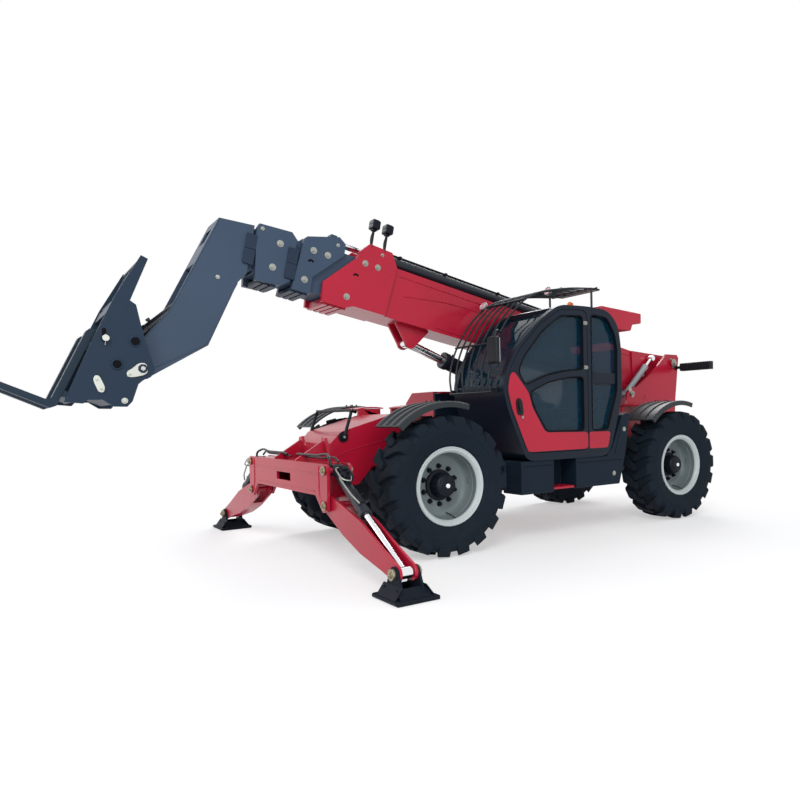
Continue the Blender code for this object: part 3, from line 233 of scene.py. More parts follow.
def eased(points, reach, steps=5, closed=False):
    """A line of points with its corners rounded."""
    points = [Vector(point) for point in points]
    count = len(points)
    made = []
    for index, here in enumerate(points):
        if not closed and index in (0, count - 1):
            made.append(here)
            continue
        before, after = points[index - 1], points[(index + 1) % count]
        back, on = before - here, after - here
        near = here + back.normalized() * min(reach, back.length * 0.45)
        far = here + on.normalized() * min(reach, on.length * 0.45)
        for step in range(steps + 1):
            t = step / steps
            made.append(near * (1 - t) ** 2 + here * 2 * t * (1 - t) + far * t ** 2)
    return made


def tube(points, radius, reach=0.05, steps=5, sides=3, closed=False):
    return weld(from_curve(eased(points, reach, steps, closed), cyclic=closed, radius=radius,
        sides=sides))


def spun(profile, sides=64, matrix=None, angle=EDGE_ANGLE):
    """A (radius, height) profile turned about Z, then laid by a matrix."""
    piece = from_curve([(radius, 0, height) for radius, height in profile])
    edit_all(piece)
    bpy.ops.mesh.spin(steps=sides, angle=math.tau, center=(0, 0, 0), axis=(0, 0, 1))
    rest()
    weld(piece)
    if matrix is not None:
        lay(piece, matrix)
    return smooth(piece, angle)


def aimed(start, toward):
    """A frame at a point whose third axis points toward another."""
    start, toward = Vector(start), Vector(toward)
    turn = (toward - start).to_track_quat("Z", "Y").to_matrix().to_4x4()
    return shift(start) @ turn


def fused(pieces):
    pieces = list(pieces)
    hold(pieces[0])
    for piece in pieces[1:]:
        piece.select_set(True)
    if len(pieces) > 1:
        bpy.ops.object.join()
    return bpy.context.object


def twin_of(piece, matrix=STILL):
    """A copy with its own mesh, laid by a matrix."""
    made = piece.copy()
    made.data = piece.data.copy()
    bpy.context.scene.collection.objects.link(made)
    return lay(made, matrix)


def copied(piece, matrices):
    """A piece repeated at several places and joined; the first model is used up."""
    made = [twin_of(piece, matrix) for matrix in matrices]
    bpy.data.objects.remove(piece)
    return fused(made)


def with_mirror(piece):
    """The piece joined to its twin across the middle plane."""
    return fused([piece, twin_of(piece, MIRROR)])


def panel(outline, reach, steps, span, width=0.0, segments=2, axis="y"):
    """A plate of an outline with rounded corners."""
    return plate(eased(outline, reach, steps, True), span, axis, width, segments)


def on_side(outline, y):
    """An (x, z) line set at one distance from the middle plane."""
    return [(point[0], y, point[1]) for point in outline]


def rectangle(low_x, high_x, low_y, high_y, z):
    return [(low_x, low_y, z), (high_x, low_y, z), (high_x, high_y, z), (low_x, high_y, z)]


def cut(piece, *tools):
    for tool in tools:
        modify(piece, "BOOLEAN", operation="DIFFERENCE", solver="EXACT", object=tool)
        bpy.data.objects.remove(tool)
    return piece


def fit(made, name, look, on="frame", matrix=MACHINE, node=None, slot=None, angle=EDGE_ANGLE,
        both=False):
    """Joins what was made, mirrored too if asked, lays it, gives it its finish, and puts it on the
    body of a frame node, or in the place of one."""
    piece = fused(made) if isinstance(made, list) else made
    if both:
        piece = with_mirror(piece)
    if node:
        on, slot = node, SLOT_OF[node]
    lay(piece, matrix)
    smooth(piece, angle)
    # Large flat faces keep their own normals, and only the rounded edges between them turn
    modify(piece, "WEIGHTED_NORMAL", keep_sharp=True)
    piece.name = name
    piece.data.name = name
    piece.data.materials.clear()
    piece.data.materials.append(finish(look))
    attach(piece, BODY_OF[on])
    if node:
        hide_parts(node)
    return piece


def dress(node, look, width=0.004, segments=2):
    """A copy of a frame node with its triangles merged and its edges rounded, in its place."""
    source = frame["nodes"][node]
    piece = bpy.data.objects.new(node + "_skin", source.data.copy())
    bpy.context.scene.collection.objects.link(piece)
    hold(piece)
    bpy.ops.mesh.customdata_custom_splitnormals_clear()
    edit_all(piece)
    bpy.ops.mesh.remove_doubles(threshold=0.00003)
    bpy.ops.mesh.dissolve_limited(angle_limit=math.radians(1))
    rest()
    soften(piece, width, segments)
    return fit(piece, node + "_skin", look, matrix=STILL, node=node)


# Finishes

def new_group(name, inputs, outputs):
    tree = bpy.data.node_groups.new(name, "ShaderNodeTree")
    for title, kind, value in inputs:
        socket = tree.interface.new_socket(title, in_out="INPUT", socket_type="NodeSocket" + kind)
        socket.default_value = value
    for title, kind in outputs:
        tree.interface.new_socket(title, in_out="OUTPUT", socket_type="NodeSocket" + kind)
    return tree, tree.nodes.new("NodeGroupInput"), tree.nodes.new("NodeGroupOutput")


def wire(tree, kind, links=(), **values):
    """A node with its inputs set by name or number, or linked from (socket, input) pairs."""
    made = tree.nodes.new("ShaderNode" + kind)
    for key, value in values.items():
        setattr(made, key, value)
    for source, target in links:
        if hasattr(source, "links"):
            tree.links.new(source, made.inputs[target])
        else:
            made.inputs[target].default_value = source
    return made


def math_node(tree, operation, first, second, clamp=False):
    return wire(tree, "Math", ((first, 0), (second, 1)), operation=operation,
        use_clamp=clamp).outputs[0]


def noise(tree, place, scale, detail, rough=0.5):
    return wire(tree, "TexNoise", ((place, "Vector"), (scale, "Scale"), (detail, "Detail"),
        (rough, "Roughness"))).outputs["Fac"]


def map_range(tree, value, low, high, to_low=0.0, to_high=1.0, curve="LINEAR"):
    """A value brought from one range to another."""
    return wire(tree, "MapRange", ((value, "Value"), (low, "From Min"), (high, "From Max"),
        (to_low, "To Min"), (to_high, "To Max")), interpolation_type=curve).outputs[0]


def seen_straight(tree):
    """One for rays that come from the camera, through glass or off a gloss."""
    path = wire(tree, "LightPath")
    return math_node(tree, "MAXIMUM", path.outputs["Is Camera Ray"],
        math_node(tree, "MAXIMUM", path.outputs["Is Transmission Ray"],
        path.outputs["Is Glossy Ray"]))


def new_material(name):
    made = bpy.data.materials.new(name)
    made.use_nodes = True
    return made, made.node_tree, made.node_tree.nodes["Principled BSDF"]


def weather_group():
    """Slow shifts of tone, dust that settles low and on top, and a fine grain for the bump."""
    tree, given, out = new_group("weathering", (("Paint", "Color", (0.5, 0.5, 0.5, 1)),
        ("Dust", "Color", (0.3, 0.27, 0.23, 1)), ("Cover", "Float", 0.2), ("Gloss", "Float", 0.4),
        ("Grain Scale", "Float", 300.0), ("Tone", "Float", 0.12)),
        (("Color", "Color"), ("Roughness", "Float"), ("Height", "Float")))
    place = wire(tree, "TexCoord").outputs["Object"]
    split = wire(tree, "SeparateXYZ", ((place, 0),))
    slow = noise(tree, place, 1.6, 4.0)
    patch = noise(tree, place, 11.0, 6.0, 0.65)
    grain = noise(tree, place, given.outputs["Grain Scale"], 2.0)
    level = map_range(tree, split.outputs["Z"], 1.1, 0.0)
    normal = wire(tree, "SeparateXYZ", ((wire(tree, "NewGeometry").outputs["Normal"], 0),))
    top = math_node(tree, "MULTIPLY", math_node(tree, "MAXIMUM", normal.outputs["Z"], 0.0), 0.4)
    where = math_node(tree, "ADD", math_node(tree, "MULTIPLY", level, 0.7), top)
    spots = math_node(tree, "MULTIPLY", map_range(tree, patch, 0.38, 0.68), 0.8)
    amount = math_node(tree, "MULTIPLY", where, math_node(tree, "ADD", spots, 0.2))
    amount = math_node(tree, "MULTIPLY", amount, given.outputs["Cover"], clamp=True)
    tone = math_node(tree, "SUBTRACT", map_range(tree, slow, 0.3, 0.7), 0.5)
    shade = math_node(tree, "MULTIPLY", tone, given.outputs["Tone"])
    tinted = wire(tree, "HueSaturation", ((given.outputs["Paint"], "Color"),
        (math_node(tree, "ADD", shade, 1.0), "Value")))
    mixed = tree.nodes.new("ShaderNodeMix")
    mixed.data_type = "RGBA"
    tree.links.new(amount, mixed.inputs[0])
    tree.links.new(tinted.outputs[0], mixed.inputs[6])
    tree.links.new(given.outputs["Dust"], mixed.inputs[7])
    rough = math_node(tree, "ADD", given.outputs["Gloss"], math_node(tree, "MULTIPLY", amount,
        0.5))
    rough = math_node(tree, "ADD", rough, math_node(tree, "MULTIPLY", shade, 0.5), clamp=True)
    tree.links.new(mixed.outputs[2], out.inputs["Color"])
    tree.links.new(rough, out.inputs["Roughness"])
    tree.links.new(grain, out.inputs["Height"])
    return tree


MADE = {}
SPECULAR = "Specular IOR Level"

# name: colour, gloss, dust cover, grain scale, bump, tone, plain shader sockets
FINISHES = {
    "red_paint": ((0.36, 0.006, 0.026), 0.3, 0.03, 240, 0.015, 0.16,
                  {"Coat Weight": 0.25, "Coat Roughness": 0.12, SPECULAR: 0.22}),
    "slate_paint": ((0.034, 0.056, 0.092), 0.44, 0.04, 240, 0.02, 0.16, {SPECULAR: 0.2}),
    "guide_paint": ((0.015, 0.026, 0.048), 0.42, 0.04, 240, 0.02, 0.16, {SPECULAR: 0.15}),
    "carriage_paint": ((0.01, 0.023, 0.043), 0.44, 0.03, 240, 0.02, 0.2, {SPECULAR: 0.14}),
    "foot_paint": ((0.005, 0.008, 0.014), 0.5, 0.03, 240, 0.03, 0.25, {SPECULAR: 0.08}),
    "axle_paint": ((0.01, 0.014, 0.02), 0.5, 0.15, 240, 0.03, 0.25, {SPECULAR: 0.2}),
    "cab_paint": ((0.005, 0.01, 0.019), 0.32, 0.02, 240, 0.012, 0.15,
                  {"Coat Weight": 0.08, "Coat Roughness": 0.1, SPECULAR: 0.14}),
    "skirt_paint": ((0.006, 0.013, 0.023), 0.48, 0.03, 260, 0.03, 0.2, {SPECULAR: 0.1}),
    "moulded_plastic": ((0.006, 0.008, 0.011), 0.5, 0.06, 520, 0.1, 0.2, {SPECULAR: 0.2}),
    "fender_plastic": ((0.013, 0.018, 0.022), 0.38, 0.03, 420, 0.05, 0.2, {SPECULAR: 0.3}),
    "tyre_rubber": ((0.006, 0.011, 0.018), 0.75, 0.08, 160, 0.16, 0.35, {SPECULAR: 0.1}),
    # near-black rubber for seals and joints, also laid in openings and holes as painted shade
    "seal_rubber_and_hole_shade": ((0.002, 0.002, 0.003), 0.7, 0.0, 300, 0.05, 0.1, {SPECULAR: 0.1}),
    "rim_paint": ((0.4, 0.44, 0.44), 0.4, 0.06, 200, 0.03, 0.16, {SPECULAR: 0.4}),
    # the dish has the flanges' paint: its darker colour is painted shade in the deep recess
    "rim_dish_painted_shade": ((0.13, 0.16, 0.165), 0.42, 0.1, 200, 0.03, 0.2, {SPECULAR: 0.3}),
    "hub_black": ((0.004, 0.006, 0.011), 0.4, 0.03, 200, 0.04, 0.2, {SPECULAR: 0.15}),
    "pipe_black": ((0.005, 0.01, 0.015), 0.35, 0.02, 200, 0.02, 0.2, {SPECULAR: 0.3}),
    "zinc": ((0.33, 0.34, 0.31), 0.36, 0.03, 300, 0.04, 0.25, {"Metallic": 0.9}),
    "brass": ((0.33, 0.29, 0.2), 0.36, 0.05, 300, 0.04, 0.25, {"Metallic": 0.85}),
    "chrome": ((0.8, 0.81, 0.83), 0.09, 0.0, 60, 0.003, 0.06, {"Metallic": 1.0}),
    "cylinder_paint": ((0.008, 0.012, 0.019), 0.36, 0.04, 240, 0.02, 0.2,
                       {"Coat Weight": 0.12, "Coat Roughness": 0.2, SPECULAR: 0.25}),
    "silver_paint": ((0.28, 0.3, 0.32), 0.36, 0.06, 240, 0.02, 0.15, {"Metallic": 0.35}),
    "fork_steel": ((0.007, 0.018, 0.032), 0.46, 0.04, 120, 0.06, 0.3, {SPECULAR: 0.18}),
    "cast_iron": ((0.1, 0.1, 0.105), 0.6, 0.15, 120, 0.15, 0.3, {"Metallic": 0.3}),
    "amber_lens": ((0.95, 0.22, 0.02), 0.15, 0.0, 80, 0.01, 0.1, {"Transmission Weight": 0.3}),
    "red_lens": ((0.6, 0.01, 0.01), 0.15, 0.0, 80, 0.01, 0.1, {"Transmission Weight": 0.3}),
    "rose_lens": ((0.62, 0.3, 0.32), 0.12, 0.0, 80, 0.01, 0.1, {}),
    "clear_lens": ((0.8, 0.82, 0.83), 0.12, 0.0, 80, 0.01, 0.05, {}),
    "lamp_lens": ((0.09, 0.11, 0.12), 0.1, 0.0, 80, 0.01, 0.1, {}),
    "seat_cloth": ((0.02, 0.022, 0.028), 0.85, 0.05, 900, 0.25, 0.3, {"Sheen Weight": 0.3}),
}
DUST = (0.1, 0.095, 0.09, 1)


def finish(name):
    """The named finish, built once from its row of the table."""
    if name in MADE:
        return MADE[name]
    if name == "glass":
        return glass()
    if "weathering" not in MADE:
        MADE["weathering"] = weather_group()
    colour, gloss, cover, scale, bump, tone, sockets = FINISHES[name]
    colour = getattr(bpy.context.scene.telehandler_paint, name, colour)
    made, tree, shader = new_material(name)
    weather = wire(tree, "Group", node_tree=MADE["weathering"])
    for title, value in (("Paint", (*colour, 1)), ("Dust", DUST), ("Cover", cover),
            ("Gloss", gloss), ("Grain Scale", scale), ("Tone", tone)):
        weather.inputs[title].default_value = value
    relief = wire(tree, "Bump", ((weather.outputs["Height"], "Height"), (bump, "Strength"),
        (0.002, "Distance")))
    tree.links.new(weather.outputs["Color"], shader.inputs["Base Color"])
    tree.links.new(weather.outputs["Roughness"], shader.inputs["Roughness"])
    tree.links.new(relief.outputs["Normal"], shader.inputs["Normal"])
    for title, value in sockets.items():
        shader.inputs[title].default_value = value
    MADE[name] = made
    return made


def glass():
    """Dark tinted safety glass: the light that passes shifts a little with a slow haze."""
    made, tree, shader = new_material("cab_glass")
    place = wire(tree, "TexCoord").outputs["Object"]
    haze = noise(tree, place, 0.9, 0.0)
    tree.links.new(map_range(tree, haze, 0.3, 0.7, 0.58, 0.64), shader.inputs["Alpha"])
    tree.links.new(map_range(tree, haze, 0, 1, 0.02, 0.04), shader.inputs["Roughness"])
    shader.inputs["Base Color"].default_value = (0.0015, 0.024, 0.046, 1)
    shader.inputs[SPECULAR].default_value = 0.35
    MADE["glass"] = made
    return made


# Sizes and colours that a user may change

class WheelSettings(bpy.types.PropertyGroup):
    radius: FloatProperty(name="Tyre radius", description="Over the lugs' tips",
        default=AXLE_HEIGHT, min=0.3, unit="LENGTH", subtype="DISTANCE")
    half_width: FloatProperty(name="Tyre half width", description="From the wheel's middle plane",
        default=0.205, unit="LENGTH", subtype="DISTANCE")
    lugs: IntProperty(name="Lugs", description="Lugs on each side of a tyre", default=18, min=8)
    lug_depth: FloatProperty(name="Lug depth", description="How far the lugs stand out",
        default=0.036, unit="LENGTH", subtype="DISTANCE")
    nuts: IntProperty(name="Wheel nuts", description="Nuts on each wheel", default=10, min=3)


def paint_property(name, title, use):
    return FloatVectorProperty(name=title, description="Paint of " + use,
        default=FINISHES[name][0], subtype="COLOR", size=3, min=0, max=1)


class PaintSettings(bpy.types.PropertyGroup):
    red_paint: paint_property("red_paint", "Body colour",
        "the frame, the outer boom and the panels")
    slate_paint: paint_property("slate_paint", "Boom colour", "the boom's inner sections")
    cab_paint: paint_property("cab_paint", "Cab colour", "the cab's frame and door")
    carriage_paint: paint_property("carriage_paint", "Carriage colour", "the fork carriage")
    rim_paint: paint_property("rim_paint", "Rim colour", "the rims' flanges")


class StageSettings(bpy.types.PropertyGroup):
    lens: FloatProperty(name="Lens", description="The camera's focal length in millimetres",
        default=30.25)
    floor: FloatVectorProperty(name="Floor colour", description="Colour of the floor",
        default=(0.92, 0.92, 0.92), subtype="COLOR", size=3)
    floor_glow: FloatProperty(name="Floor glow",
        description="Share of plain white near the machine", default=0.45, min=0, max=1)
    key_power: FloatProperty(name="Key light", description="Power of the main lamp in watts",
        default=900.0)


# The camera as fitted to the picture: yaw, pitch and roll in degrees, place from the middle of the
# wheelbase, and shift of the picture
CAMERA_TURN = (37.086, -1.225, -1.094)
CAMERA_PLACE = (4.793, 5.932, 1.215)
CAMERA_SHIFT = (-0.1139, 0.0381)


def make_stage(context):
    values = context.scene.telehandler_stage
    scene = context.scene
    rest()
    bpy.ops.mesh.primitive_plane_add(size=80, location=(0, 0, -0.001))
    floor = bpy.context.object
    floor.name = "studio_floor"
    made, tree, shader = new_material("studio_floor")
    shader.inputs["Base Color"].default_value = (*values.floor, 1)
    shader.inputs["Roughness"].default_value = 0.9
    shader.inputs[SPECULAR].default_value = 0.0
    # Far from the machine the floor is seen as plain white, and near it it takes the shadow
    seen = seen_straight(tree)
    place = wire(tree, "TexCoord").outputs["Object"]
    apart = wire(tree, "VectorMath", ((place, 0),), operation="LENGTH")
    fade = map_range(tree, apart.outputs["Value"], 4.2, 7.5, values.floor_glow, 1.0, "SMOOTHSTEP")
    share = math_node(tree, "MULTIPLY", fade, seen)
    white = wire(tree, "Emission", (((1, 1, 1, 1), "Color"), (1.0, "Strength")))
    both = wire(tree, "MixShader", ((share, 0), (shader.outputs[0], 1), (white.outputs[0], 2)))
    tree.links.new(both.outputs[0], tree.nodes["Material Output"].inputs["Surface"])
    floor.data.materials.append(made)

    world = bpy.data.worlds.new("studio")
    scene.world = world
    world.use_nodes = True
    tree = world.node_tree
    tree.nodes.clear()
    seen = seen_straight(tree)
    lit = wire(tree, "Background", (((0.93, 0.95, 1.0, 1), "Color"), (0.62, "Strength")))
    white = wire(tree, "Background", (((1.0, 1.0, 1.0, 1), "Color"), (1.0, "Strength")))
    both = wire(tree, "MixShader", ((seen, 0), (lit.outputs[0], 1), (white.outputs[0], 2)))
    out = wire(tree, "OutputWorld", ((both.outputs[0], "Surface"),))
    out.is_active_output = True

    # name, place, power as a share of the key, size
    lamps = (("key", (7.0, 9.0, 9.0), 1.0, 5.0), ("fill", (8.0, -6.0, 6.0), 0.45, 6.0),
        ("back", (-8.0, -5.0, 8.0), 0.7, 6.0), ("front", (2.5, 11.0, 3.0), 0.3, 5.0))
    for name, place, share, size in lamps:
        bpy.ops.object.light_add(type="AREA", location=place)
        lamp = bpy.context.object
        lamp.name = "lamp_" + name
        lamp.data.energy = values.key_power * share
        lamp.data.size = size
        turn = (Vector((0, 0, 1)) - Vector(place)).to_track_quat("-Z", "Y")
        lamp.rotation_euler = turn.to_euler()

    yaw, pitch, roll = (math.radians(angle) for angle in CAMERA_TURN)
    ahead = Vector((-math.sin(yaw) * math.cos(pitch), -math.cos(yaw) * math.cos(pitch),
        math.sin(pitch)))
    right = ahead.cross(Vector((0, 0, 1))).normalized()
    up = right.cross(ahead)
    level = right * math.cos(roll) + up * math.sin(roll)
    upward = up * math.cos(roll) - right * math.sin(roll)
    bpy.ops.object.camera_add()
    camera = bpy.context.object
    turn = Matrix((level, upward, -ahead)).transposed().to_4x4()
    camera.matrix_world = MACHINE @ shift(CAMERA_PLACE) @ turn
    camera.data.lens = values.lens
    camera.data.sensor_width = 36
    camera.data.shift_x, camera.data.shift_y = CAMERA_SHIFT
    camera.data.clip_end = 300
    scene.camera = camera
    scene.view_settings.view_transform = "Standard"


class TELEHANDLER_OT_stage(bpy.types.Operator):
    """Adds the floor, the light and the camera"""
    bl_idname = "telehandler.stage"
    bl_label = "Stage"

    def execute(self, context):
        make_stage(context)
        return {"FINISHED"}


def lug_shape(values, side):
    """One lug: it climbs the sidewall, turns over the shoulder and runs slanting to the middle."""
    tip, half = values.radius, values.half_width
    base = tip - values.lug_depth
    # across, outer radius, inner radius, turn at its middle, half width as a turn
    stations = ((half - 0.008, 0.515, 0.5, 0.0, 0.085), (half + 0.001, 0.545, 0.52, 0.004, 0.105),
        (half - 0.004, 0.578, 0.545, 0.01, 0.112), (half - 0.02, tip - 0.006, 0.56, 0.02, 0.112),
        (half - 0.05, tip, base - 0.01, 0.045, 0.108), (0.11, tip, base - 0.01, 0.075, 0.094),
        (0.07, tip, base - 0.01, 0.13, 0.074), (0.02, tip, base - 0.01, 0.175, 0.066),
        (-0.016, tip - 0.002, base - 0.01, 0.185, 0.056))
    rest()
    bpy.ops.mesh.primitive_grid_add(x_subdivisions=len(stations) - 1, y_subdivisions=1, size=1)
    piece = bpy.context.object
    edit_all(piece)
    bpy.ops.mesh.extrude_region_move(TRANSFORM_OT_translate={"value": (0, 0, 1)})
    rest()
    for vertex in piece.data.vertices:
        index = round((vertex.co.x + 0.5) * (len(stations) - 1))
        across, outer, inner, turn, spread = stations[index]
        top = vertex.co.z > 0.5
        radius = outer if top else inner
        angle = turn + (1 if vertex.co.y > 0 else -1) * spread * (0.9 if top else 1.06)
        vertex.co = (radius * math.sin(angle), side * across, radius * math.cos(angle))
    weld(piece)
    return soften(piece, 0.006, 2, 30)


def make_tyres(context):
    values = context.scene.telehandler_wheels
    half, tip = values.half_width, values.radius
    base = tip - values.lug_depth
    turn = turned(-90, "X")
    side = [(0.3275, 0.15), (0.333, 0.163), (0.352, 0.172), (0.362, 0.181), (0.372, 0.1835),
        (0.384, 0.188), (0.392, 0.1865), (0.425, 0.197), (0.46, 0.2035), (0.47, half - 0.0025),
        (0.474, half + 0.0015), (0.479, half - 0.0015), (0.5, half - 0.001), (0.53, 0.2),
        (0.556, 0.186), (base - 0.008, 0.16), (base, 0.125), (base + 0.002, 0.06),
        (base + 0.003, 0.0)]
    profile = side + [(radius, -across) for radius, across in side[-2::-1]]
    profile.append(profile[0])
    casing = spun(profile, 112, turn, 50)
    lug_step = math.tau / values.lugs
    pieces = [casing]
    for hand in (-1, 1):
        lug = lug_shape(values, hand)
        start = lug_step / 2 if hand > 0 else 0
        pieces.append(copied(lug, [Matrix.Rotation(start + lug_step * index, 4, "Y")
            for index in range(values.lugs)]))
    tyre = fused(pieces)
    for corner in CORNERS:
        place = shift(pivot("roll_" + corner)) @ hand_of(corner)
        fit(twin_of(tyre), "tyre_tread_" + corner, "tyre_rubber", matrix=place,
            node="tyre_" + corner, angle=45)
    bpy.data.objects.remove(tyre)


class TELEHANDLER_OT_tyres(bpy.types.Operator):
    """Makes the tyres with their casings, ribs and lugs"""
    bl_idname = "telehandler.tyres"
    bl_label = "Tyres"

    def execute(self, context):
        make_tyres(context)
        return {"FINISHED"}


def make_rims(context):
    values = context.scene.telehandler_wheels
    turn = turned(-90, "X")
    rim = spun([(0.12, -0.022), (0.235, -0.02), (0.262, -0.01), (0.278, 0.01), (0.288, 0.05),
        (0.29, 0.085), (0.2935, 0.089), (0.2935, 0.15), (0.312, 0.168), (0.3265, 0.16),
        (0.3265, -0.16), (0.345, -0.176), (0.342, -0.183), (0.314, -0.183), (0.3, -0.15),
        (0.28, -0.05), (0.23, -0.038), (0.12, -0.038), (0.12, -0.022)], 96, turn, 35)
    flange = spun([(0.293, 0.14), (0.2925, 0.15), (0.299, 0.162), (0.309, 0.169), (0.312, 0.175),
        (0.318, 0.177), (0.327, 0.1765), (0.332, 0.1815), (0.339, 0.1835), (0.344, 0.179),
        (0.345, 0.17), (0.3275, 0.161), (0.3275, 0.15), (0.312, 0.165), (0.293, 0.14)], 96, turn,
        35)
    hub = spun([(0, 0.128), (0.024, 0.128), (0.03, 0.121), (0.056, 0.12), (0.062, 0.114),
        (0.086, 0.11), (0.097, 0.1), (0.104, 0.086), (0.107, 0.04), (0.111, 0.004),
        (0.136, -0.002), (0.139, -0.021), (0.139, -0.041), (0, -0.041)], 64, turn)
    cap = spun([(0, 0.142), (0.012, 0.141), (0.019, 0.136), (0.021, 0.126), (0, 0.126)], 40, turn)
    nut_step = math.tau / values.nuts
    nut = fused([bar((0, -0.02, 0), (0, 0.006, 0), 0.019, 6, 0.002),
        bar((0, 0.0, 0), (0, 0.02, 0), 0.01, 16, 0.001), bar((0, -0.021, 0), (0, -0.016, 0), 0.024,
        24, 0.001)])
    nuts = copied(nut, [Matrix.Rotation(nut_step * index, 4, "Y") @ shift((0, 0, 0.168))
        for index in range(values.nuts)])
    screw = bar((0, 0.106, 0), (0, 0.118, 0), 0.006, 6, 0.001)
    screws = copied(screw, [turned(60 * index, "Y") @ shift((0, 0, 0.076)) for index in range(6)])
    weld_bead = copied(block((-0.03, 0.02, -0.002), (0.03, 0.05, 0.004), 0.002),
        [Matrix.Rotation(angle, 4, "Y") @ shift((0, 0, 0.281)) for angle in (0.6, 2.7, 4.8)])
    rim = fused([rim, weld_bead])
    valve = tube([(0.235, 0.0, 0.1), (0.245, 0.1, 0.11), (0.275, 0.15, 0.12)], 0.004, 0.03)
    nuts = fused([nuts, screws, lay(valve, Matrix.Rotation(2.2, 4, "Y"))])
    # the disc takes the darker copy of the rim paint, which is painted shade in the dish
    parts = ((rim, "rim_disc_", "rim_dish_painted_shade"), (flange, "rim_flange_", "rim_paint"),
        (hub, "hub_", "hub_black"), (cap, "hub_cap_", "clear_lens"),
        (nuts, "wheel_nuts_", "hub_black"))
    for corner in CORNERS:
        place = shift(pivot("roll_" + corner)) @ hand_of(corner)
        rim_node = "rim_" + corner
        for model, title, look in parts:
            fit(twin_of(model), title + corner, look, rim_node, place,
                rim_node if model == rim else None, "silver_paint")
    for model, title, look in parts:
        bpy.data.objects.remove(model)


class TELEHANDLER_OT_rims(bpy.types.Operator):
    """Makes the rims with their lock rings, discs, hubs and nuts"""
    bl_idname = "telehandler.rims"
    bl_label = "Rims"

    def execute(self, context):
        make_rims(context)
        return {"FINISHED"}


# Degrees up from level, and round the wheel from there
FENDER_START, FENDER_SWEEP = 46, 60


def make_fenders():
    inner, outer, turned_down = 0.7205, 0.738, 0.684
    low, high = 0.7, 1.12
    lip = 0.015
    # across, radius: grooves between raised lands, and the lip down the outer edge
    lands = [(low, inner), (low, outer - 0.006), (low + 0.01, outer)]
    count = 3
    pitch = (high - low - 0.06) / count
    for index in range(count):
        start = low + 0.022 + pitch * index
        lands += [(start + 0.02, outer), (start + 0.028, outer - 0.013),
            (start + pitch - 0.028, outer - 0.013), (start + pitch - 0.02, outer)]
    lands += [(high - 0.012, outer), (high, outer - 0.01), (high, turned_down),
        (high - lip, turned_down), (high - lip - 0.006, inner), (low, inner)]
    for corner in CORNERS:
        axle = pivot("roll_" + corner)
        side = 1 if corner.endswith("left") else -1
        line = from_curve([(radius, side * across, 0) for across, radius in lands[:-1]],
            cyclic=True)
        lay(line, turned(-FENDER_START, "Y"))
        edit_all(line)
        bpy.ops.mesh.edge_face_add()
        bpy.ops.mesh.select_all(action="SELECT")
        bpy.ops.mesh.spin(steps=24, angle=math.radians(FENDER_SWEEP), center=(0, 0, 0),
            axis=(0, 1, 0))
        rest()
        weld(line)
        place = shift((axle.x, 0, axle.z))
        ends = [lay(block((inner - 0.001, low, -0.006), (outer - 0.002, high, 0.006), 0.003),
            turned(-turn, "Y") @ Matrix.Scale(side, 4, (0, 1, 0)))
            for turn in (FENDER_START + 0.4, FENDER_START + FENDER_SWEEP - 0.4)]
        studs = bolts([(0.7 * math.cos(math.radians(turn)), side * across,
            outer * math.sin(math.radians(turn)) + 0.001) for turn in (88, 92)
            for across in (0.76, 0.9)], 0.009, 0.005, axis=(0, 0, 1))
        line = fused([line, studs] + ends)
        fit(line, "fender_shell_" + corner, "fender_plastic", matrix=place,
            node="fender_" + corner, angle=30)


class TELEHANDLER_OT_fenders(bpy.types.Operator):
    """Makes the moulded fenders with their grooves and rolled edges"""
    bl_idname = "telehandler.fenders"
    bl_label = "Fenders"

    def execute(self, context):
        make_fenders()
        return {"FINISHED"}


def ram_frame(base, tip, across):
    """Axes of a hydraulic cylinder: first across its pins, third from its base to its tip."""
    base, tip, across = Vector(base), Vector(tip), Vector(across)
    along = (tip - base).normalized()
    turn = Matrix((across, along.cross(across), along)).transposed().to_4x4()
    return shift(base) @ turn


def barrel_shape(radius, rod_radius, length, foot, eye, half):
    """A polished tube with a welded foot, a gland nut, two oil ports and an eye at its base."""
    gland = 0.075
    tube_shape = spun([(0, foot), (radius * 0.86, foot), (radius, foot + 0.014),
        (radius, length - gland), (radius * 1.1, length - gland + 0.006),
        (radius * 1.12, length - gland + 0.014), (radius * 1.12, length - 0.012),
        (radius * 1.06, length - 0.004), (rod_radius * 1.35, length),
        (rod_radius * 1.02, length - 0.002), (rod_radius * 1.02, length - 0.02),
        (0, length - 0.02)], 48)
    parts = [tube_shape, bar((-half, 0, 0), (half, 0, 0), eye, 40, 0.003)]
    for height in (foot + 0.06, length - gland - 0.05):
        parts.append(bar((0, 0, height), (0, radius + 0.016, height), 0.014, 16, 0.002))
        parts.append(bar((0, radius + 0.006, height), (0, radius + 0.024, height), 0.018, 6,
            0.001))
    return fused(parts)


def rod_shape(rod_radius, start, reach, eye, half):
    stem = spun([(0, start), (rod_radius, start), (rod_radius, reach - eye * 0.55),
        (0, reach - eye * 0.55)], 40)
    return fused([stem, bar((-half, 0, reach), (half, 0, reach), eye, 40, 0.003)])


